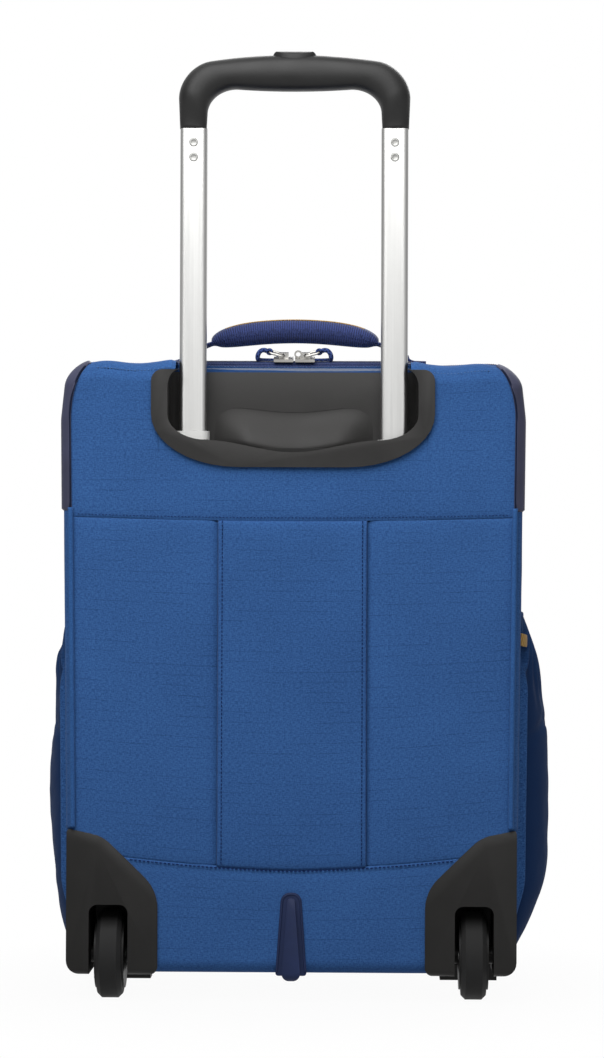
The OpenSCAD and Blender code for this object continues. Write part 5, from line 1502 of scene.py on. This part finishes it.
curve = smooth_line(ANCHOR_ROUTE + [HANDLE_HALF, 0], 0.7)
for side, word, node in ((-1, "left", "handle_ends"), (1, "right", None)):
    swept_piece("handle_anchor_" + word, points_of(side * curve[:, 0], HANDLE_Y, curve[:, 1]), FORWARD,
                ANCHOR_SECTION, WEBBING, "front", "webbing_navy", node=node)
print("carry handle made")

# %% [markdown]
# ## The lining
# Behind the main compartment a thin lining covers the handle tubes. It shows only when the case is
# open, as a sheet with slow waves, cut out round the wheel housings.

# %% Lining
LINING_LOW, LINING_HIGH = node_box("lining")
LINING_R, LINING_IN, LINING_CORNER, BETWEEN_HOUSINGS = 30, 4, 16, 90.0
LINING_WAVES, LINING_OFF, LINING_SEED = 0.5, 0.4, 81
s, z = np.meshgrid(np.linspace(-1, 1, 80), np.linspace(LINING_LOW[2] + 1, LINING_HIGH[2] - 1, 120))
corner = np.clip(np.maximum(0, z - (LINING_HIGH[2] - LINING_R)) / LINING_R, 0, 1)
above = wall_half(z) - LINING_IN - LINING_CORNER * (1 - np.sqrt(1 - corner ** 2))
half = np.where(z < HOUSING_TOP + 2, BETWEEN_HOUSINGS, above)
waves = LINING_WAVES * soft_noise(s * 6, z / 40, LINING_SEED) * smooth_step(1 - np.abs(s), 0, 0.1)
points = np.stack([s * half, LINING_HIGH[1] - BACK_Y + LINING_OFF + waves, z], axis=-1)
sheet_piece("lining_cloth", points, LINING_CLOTH, "case_back", "fabric_lining", CLOTH_T, "lining", flip=True)
print("lining made")

# %% [markdown]
# ## The grip
# The grip is moulded in one piece, round in the hand: its section is an oval that is as high as the
# distance between its upper and lower line, and thins in depth towards the tubes. So the surface is
# two lines, the middle between them, and ovals across.

# %% Grip
GRIP_LOW, GRIP_HIGH = node_box("grip")
GRIP_TOP = GRIP_HIGH[2]
GRIP_HALF = GRIP_HIGH[0]
TUBE_Y = (GRIP_LOW[1] + GRIP_HIGH[1]) / 2 - BACK_Y
LEG_FOOT = node_box("upper_tube_left")[1][2]
LEG_W = 20.35
LEG_TAPER_OUT, LEG_TAPER_IN = -0.9, 0.6
BAR_H = 25.6
CORNER_W, CORNER_H, CROWN = 23.0, 22.4, 4.4
BEND_W, BEND_H, SAG = 21.0, 17.5, 1.5
LEG_DEEP, BAR_DEEPER, DEEPER_OVER = 6.4, 5.6, 24
GRIP_SQUARE = 2.35


def crown_line(x):
    """Height of the grip's upper line: it falls from the middle like a parabola."""
    return GRIP_TOP - CROWN * (x / (GRIP_HALF - CORNER_W)) ** 2


def grip_lines():
    """Upper and lower line of the right half, point for point: bar, bend and leg."""
    bar, quarter, leg = np.linspace(0, 1, 16)[:-1], np.linspace(0, math.pi / 2, 18), np.linspace(0, 1, 8)[1:]
    corner_x, bend_x = GRIP_HALF - CORNER_W, GRIP_HALF - LEG_W - BEND_W
    belly = GRIP_TOP - BAR_H + SAG
    out_x = corner_x + CORNER_W * np.sin(quarter)
    upper = [np.stack([bar * corner_x, crown_line(bar * corner_x)], axis=1),
             np.stack([out_x, crown_line(out_x) - CORNER_H * (1 - np.cos(quarter))], axis=1)]
    lower = [np.stack([bar * bend_x, belly - SAG * (1 - bar ** 2)], axis=1),
             np.stack([bend_x + BEND_W * np.sin(quarter), belly - BEND_H * (1 - np.cos(quarter))], axis=1)]
    for line, taper in ((upper, LEG_TAPER_OUT), (lower, LEG_TAPER_IN)):
        end = line[1][-1]
        line.append(end + leg[:, None] * (np.array([end[0] + taper, LEG_FOOT]) - end))
    return np.vstack(upper), np.vstack(lower)


upper, lower = [np.vstack([half[:0:-1] * [-1, 1], half]) for half in grip_lines()]
middle, across = (upper + lower) / 2, (upper - lower) / 2
deep = LEG_DEEP + BAR_DEEPER * smooth_step(middle[:, 1], LEG_FOOT, LEG_FOOT + DEEPER_OVER)
section = oval(np.ones(len(middle)), deep, 40, GRIP_SQUARE)
points = np.stack([middle[:, :1] + section[..., 0] * across[:, :1], TUBE_Y + section[..., 1],
                   middle[:, 1:] + section[..., 0] * across[:, 1:]], axis=-1)
sheet_piece("grip_cover", points, GRIP_PLASTIC, "upper_stage", "plastic_grip", node="grip", loop_cols=True,
            cap_rows=True)
print("grip made, section", round(2 * float(deep.max())), "mm deep")

# %% [markdown]
# ## Rivet heads
# Two rivets fix each leg of the grip to its tube. A pressed head is a shallow dish with a rolled rim,
# so it is a profile of radius and height turned round its own axis.

# %% Rivet heads
RIVET_LOW, RIVET_HIGH = node_box("grip_rivets")
RIVET_R = 3.0
HEAD = np.array([[0.0, 0.1], [0.9, 0.12], [1.5, 0.2], [1.9, 0.36], [2.3, 0.45], [2.7, 0.4], [2.95, 0.2],
                 [3.0, -0.2]])
HEAD_SINK = 0.45
rivet_x = (RIVET_HIGH[0] - RIVET_R) * np.array([-1, 1])
rivet_z = [RIVET_LOW[2] + RIVET_R, RIVET_HIGH[2] - RIVET_R]
angle = np.linspace(0, 2 * math.pi, 28, endpoint=False)
head_y = RIVET_LOW[1] - BACK_Y + HEAD_SINK - HEAD[:, 1:]
for number, (x, z) in enumerate([(x, z) for x in rivet_x for z in rivet_z]):
    points = points_of(x + HEAD[:, :1] * np.cos(angle), head_y, z + HEAD[:, :1] * np.sin(angle))
    sheet_piece("rivet_head_%d" % number, points, RIVET_METAL, "upper_stage", "steel",
                node="grip_rivets" if number == 0 else None, loop_cols=True, flip=True)
print("rivet heads at heights", [round(float(z), 1) for z in rivet_z])

# %% [markdown]
# ## Rounded edges on the mouldings
# A mould has no knife edges. Each moulding is copied from its CAD node, its loose triangles are
# welded and flat neighbours joined, and a bevel rounds every edge sharper than a limit.

# %% Rounded mouldings
WELD, FLAT_ANGLE, SHARP_ANGLE = 0.00002, 0.02, math.radians(28)
CUP_WALL_Y, CUP_FLOOR, SLOPE_TOP, SLOPE_HALF = 30.0, 388.0, 420.5, 59.5
SLOPE_BOX = ((-SLOPE_HALF, 13.5, CUP_FLOOR - 0.4), (SLOPE_HALF, CUP_WALL_Y + 0.2, SLOPE_TOP))
SLIDER_TIP = math.radians(17)
SLIDER_PIVOT = np.array([ZIP_Y - 2.8 + BACK_Y, CASE_H + 1.0]) * MM


def tipped(mesh, angle, pivot):
    """Turns a mesh's points about a line along x: y and z turn by the angle round the pivot."""
    places = np.zeros(len(mesh.vertices) * 3)
    mesh.vertices.foreach_get("co", places)
    places = places.reshape(-1, 3)
    y, z = (places[:, 1:] - pivot).T
    places[:, 1] = pivot[0] + y * math.cos(angle) - z * math.sin(angle)
    places[:, 2] = pivot[1] + y * math.sin(angle) + z * math.cos(angle)
    mesh.vertices.foreach_set("co", places.ravel())


def welded_copy(node, without=None):
    """A CAD node's mesh with its points welded and flat neighbours joined, less the faces inside a box."""
    mesh = NODES[node].data.copy()
    mesh.name = node + "_round"
    shape = bmesh.new()
    shape.from_mesh(mesh)
    bmesh.ops.remove_doubles(shape, verts=shape.verts, dist=WELD)
    if without is not None:
        low, high = in_frame(without)
        shape.verts.index_update()
        places = np.array([vert.co[:] for vert in shape.verts])
        within = np.all((places > low) & (places < high), axis=1)
        inside = [face for face in shape.faces if all(within[vert.index] for vert in face.verts)]
        bmesh.ops.delete(shape, geom=inside, context="FACES")
        print(node, "copy leaves out", len(inside), "faces")
    bmesh.ops.dissolve_limit(shape, angle_limit=FLAT_ANGLE, verts=shape.verts, edges=shape.edges)
    shape.to_mesh(mesh)
    shape.free()
    mesh.materials.clear()
    mesh.polygons.foreach_set("use_smooth", np.ones(len(mesh.polygons), dtype=bool))
    return mesh


def rounded_copy(node, width, finish, body, without=None):
    """A welded copy of a CAD node with its sharp edges bevelled, in its stead; the sliders are tipped."""
    mesh = welded_copy(node, without)
    if "slider" in node:
        tipped(mesh, SLIDER_TIP, SLIDER_PIVOT)
    obj = piece(node + "_round", mesh, finish, body)
    bevel = obj.modifiers.new("round", "BEVEL")
    bevel.width = width * MM
    bevel.segments = 3
    bevel.limit_method = "ANGLE"
    bevel.angle_limit = SHARP_ANGLE
    bevel.harden_normals = True
    bevel.use_clamp_overlap = True
    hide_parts(node)


rounded_copy("handle_cup", 2.2, CUP_PLASTIC, "case_back", SLOPE_BOX)
for side, word in SIDES:
    rounded_copy("zip_slider_" + word, 0.6, NICKEL, "slider_" + word)
    rounded_copy("wheel_housing_" + word, 1.2, HOUSING_PLASTIC, "case_back")
rounded_copy("back_skid", 1.6, SKID_RUBBER, "case_back")
rounded_copy("release_button", 0.8, GRIP_PLASTIC, "release")
print("mouldings rounded")

# %% [markdown]
# Between the tubes the cup's back runs down to the lip in a soft hump with a hollow for the fingers.
# A mould blends such a form into the wall, so here it is one smooth height field: how far it stands
# off the wall rises from nothing at the top, is full at an edge that dips in the middle, and falls
# back under that edge.

# %% Cup slope
SLOPE_OUT, SLOPE_UNDER, SLOPE_DIP, SLOPE_FALL, SLOPE_ENDS = 11.0, 6.0, 8.0, 27.0, 0.5
UNDER_FROM, UNDER_FULL = -4, 13


def slope_points():
    """Distance off the cup's back wall over x and z: a smooth rise down to the edge, then an undercut."""
    u, z = np.meshgrid(np.linspace(-1, 1, 120), np.linspace(CUP_FLOOR - 1, SLOPE_TOP, 70))
    dip = np.cos(u * math.pi / 2) ** 2
    top = SLOPE_TOP - 0.7 * SLOPE_DIP * dip
    edge = SLOPE_TOP - SLOPE_FALL - SLOPE_DIP * dip
    ends = smooth_step(1 - np.abs(u), 0, SLOPE_ENDS)
    rise = smooth_step(top - z, 0, top - edge)
    under = smooth_step(edge - z, UNDER_FROM, UNDER_FULL)
    off = (SLOPE_OUT * rise - SLOPE_UNDER * under) * ends
    return np.stack([u * SLOPE_HALF, CUP_WALL_Y + 0.3 - off, z], axis=-1)


sheet_piece("cup_slope", slope_points(), CUP_PLASTIC, "case_back", "plastic_cup")
print("cup slope made, it stands", SLOPE_OUT, "mm off the wall")

# %% [markdown]
# The skid's flange has a rolled rim, as vinyl does where it is sewn down: a thin bead a little in
# from the flange's edge, up one side, over the top and down the other.

# %% Skid rim
SKID_TOP = node_box("back_skid")[1][2]
SKID_LOW_HALF, SKID_TOP_HALF, SKID_TOP_R, SKID_FLANGE = 11.0, 7.0, 6.5, 2.0
RIM_IN, RIM_FOOT, RIM_SECTION = 1.1, 1.5, oval(0.65, 0.75, 10)
foot, head = SKID_LOW_HALF - RIM_IN, SKID_TOP_HALF - RIM_IN
corners = np.array([[-foot, GROUND_GAP + RIM_FOOT], [-head, SKID_TOP - RIM_IN], [head, SKID_TOP - RIM_IN],
                    [foot, GROUND_GAP + RIM_FOOT]])
arcs = [corner_arc(corners[k - 1], corners[k], corners[k + 1], SKID_TOP_R - RIM_IN, 14) for k in (1, 2)]
rim = resample(np.vstack([corners[:1]] + arcs + [corners[3:]]), 0.8)
rim_line = points_of(rim[:, 0], -SKID_FLANGE - 0.1, rim[:, 1])
swept_piece("skid_rim", rim_line, FORWARD, RIM_SECTION, SKID_RUBBER, "case_back", "rubber_skid")
print("skid rim made")

# %% [markdown]
# ## Light, floor and background
# The photograph was lit softly from above and in front against white. A pale world does most of the
# work, one large lamp above gives the gentle fall of light down the back, and the floor fades into
# the white background while it keeps the shadow. The bag is laid on its back to be opened, so with
# the bag upright the opened front hangs below the floor: the floor is clear enough to show it there.

# %% Light and floor
AMBIENT = 0.15
SKY_SIDE_FROM, SKY_SIDE_TO, SKY_SIDE = 0.45, 0.95, 0.45
FLOOR_HALF, FLOOR_GREY, FLOOR_CLEAR = 6.0, 0.5, 0.96
FADE_FROM, FADE_TO = 0.15, 0.34
WHITE = (1, 1, 1, 1)


def area_lamp(name, place, target, size, power):
    """A square lamp at a place in metres that looks at a target."""
    data = bpy.data.lights.new(name, "AREA")
    data.size = size
    data.energy = power
    lamp = bpy.data.objects.new(name, data)
    bpy.context.scene.collection.objects.link(lamp)
    lamp.location = place
    lamp.rotation_euler = (Vector(target) - Vector(place)).to_track_quat("-Z", "Y").to_euler()


def studio_sky():
    """White to the camera, dim as light, and in mirrors bright with darker sides."""
    world = bpy.data.worlds.new("studio")
    bpy.context.scene.world = world
    world.use_nodes = True
    sky = world.node_tree
    rays = add(sky, "LightPath").outputs
    direction = add(sky, "TexCoord").outputs["Generated"]
    sideways = add(sky, "SeparateXYZ", [(direction, "Vector")]).outputs["X"]
    sideways = math_node(sky, "ABSOLUTE", sideways, 0.0)
    mirrored = add(sky, "MapRange", [(sideways, "Value")], From_Min=SKY_SIDE_FROM, From_Max=SKY_SIDE_TO,
                   To_Min=1.0, To_Max=SKY_SIDE).outputs["Result"]
    extra = math_node(sky, "SUBTRACT", mirrored, AMBIENT)
    glossy = math_node(sky, "MULTIPLY", rays["Is Glossy Ray"], extra)
    seen = math_node(sky, "MAXIMUM", rays["Is Camera Ray"], rays["Is Transmission Ray"])
    level = math_node(sky, "ADD", math_node(sky, "ADD", glossy, AMBIENT),
                      math_node(sky, "MULTIPLY", seen, 1 - AMBIENT))
    sky.links.new(level, sky.nodes["Background"].inputs["Strength"])
    sky.nodes["Background"].inputs["Color"].default_value = WHITE


def floor_finish():
    """A grey floor, all but clear to the camera so that it keeps only the shadow, and white in mirrors."""
    material, tree, shader = make_finish("floor_finish", 0.9, Specular_IOR_Level=0.0)
    shader.inputs["Base Color"].default_value = (FLOOR_GREY, FLOOR_GREY, FLOOR_GREY, 1)
    white = add(tree, "Emission", Strength=1.0, Color=WHITE)
    place = add(tree, "TexCoord").outputs["Object"]
    distance = add(tree, "VectorMath", [(place, 0)], operation="LENGTH").outputs["Value"]
    fade = add(tree, "MapRange", [(distance, "Value")], From_Min=FADE_FROM, From_Max=FADE_TO,
               To_Min=FLOOR_CLEAR).outputs["Result"]
    rays = add(tree, "LightPath").outputs
    shown = math_node(tree, "MAXIMUM", rays["Is Glossy Ray"], rays["Is Transmission Ray"])
    mirrored = add(tree, "MixShader", [(math_node(tree, "MULTIPLY", fade, shown), 0),
                                       (shader.outputs["BSDF"], 1), (white.outputs["Emission"], 2)])
    clear = math_node(tree, "MULTIPLY", fade, rays["Is Camera Ray"])
    clear = math_node(tree, "MAXIMUM", clear, rays["Is Shadow Ray"])
    through = add(tree, "BsdfTransparent").outputs["BSDF"]
    surface = add(tree, "MixShader", [(clear, 0), (mirrored.outputs["Shader"], 1), (through, 2)])
    tree.links.new(surface.outputs["Shader"], tree.nodes["Material Output"].inputs["Surface"])
    return material


area_lamp("lamp_above", (-0.15, -0.8, 1.2), (0, 0, 0.4), 1.1, 15.9)
area_lamp("lamp_front", (0.4, 1.6, 1.6), (0, 0, 0.35), 1.2, 16)
studio_sky()
floor_mesh = bpy.data.meshes.new("floor")
floor_corners = [(x * FLOOR_HALF, y * FLOOR_HALF, 0) for x, y in ((-1, -1), (1, -1), (1, 1), (-1, 1))]
floor_mesh.from_pydata(floor_corners, [], [(0, 1, 2, 3)])
floor = bpy.data.objects.new("floor", floor_mesh)
bpy.context.scene.collection.objects.link(floor)
floor_mesh.materials.append(floor_finish())
bpy.context.scene.view_settings.view_transform = "Standard"
print("light and floor made")

# %% [markdown]
# ## The rigid nodes
# Nodes that no new surface stands for are drawn as the CAD model has them. Each gets one of the
# finishes from above.

# %% Finishes of the rigid CAD nodes
FINISHED_NODES = (
    (HOUSING_PLASTIC, ("tube_foot", "lock_plug_left", "lock_plug_right", "front_feet", "push_bar")),
    (HUB_PLASTIC, ("hub_left", "hub_right")),
    (PALE_PLASTIC, ("middle_collars",)),
    (TYRE_RUBBER, ("tyre_left", "tyre_right")),
    (BOARD, ("back_board",)),
    (TUBE_METAL, ("upper_tube_left", "upper_tube_right", "middle_tube_left", "middle_tube_right",
                  "outer_tube_left", "outer_tube_right")),
    (STEEL, ("case_screws", "axles", "push_rod_left", "push_rod_right", "button_spring", "lock_pin_left",
             "lock_pin_right", "mouth_wire")),
    (NICKEL, ("pocket_slider",)),
)
for finish, nodes in FINISHED_NODES:
    for node in nodes:
        NODES[node].data.materials.clear()
        NODES[node].data.materials.append(finish)
print("rigid nodes finished:", sum(len(nodes) for finish, nodes in FINISHED_NODES))
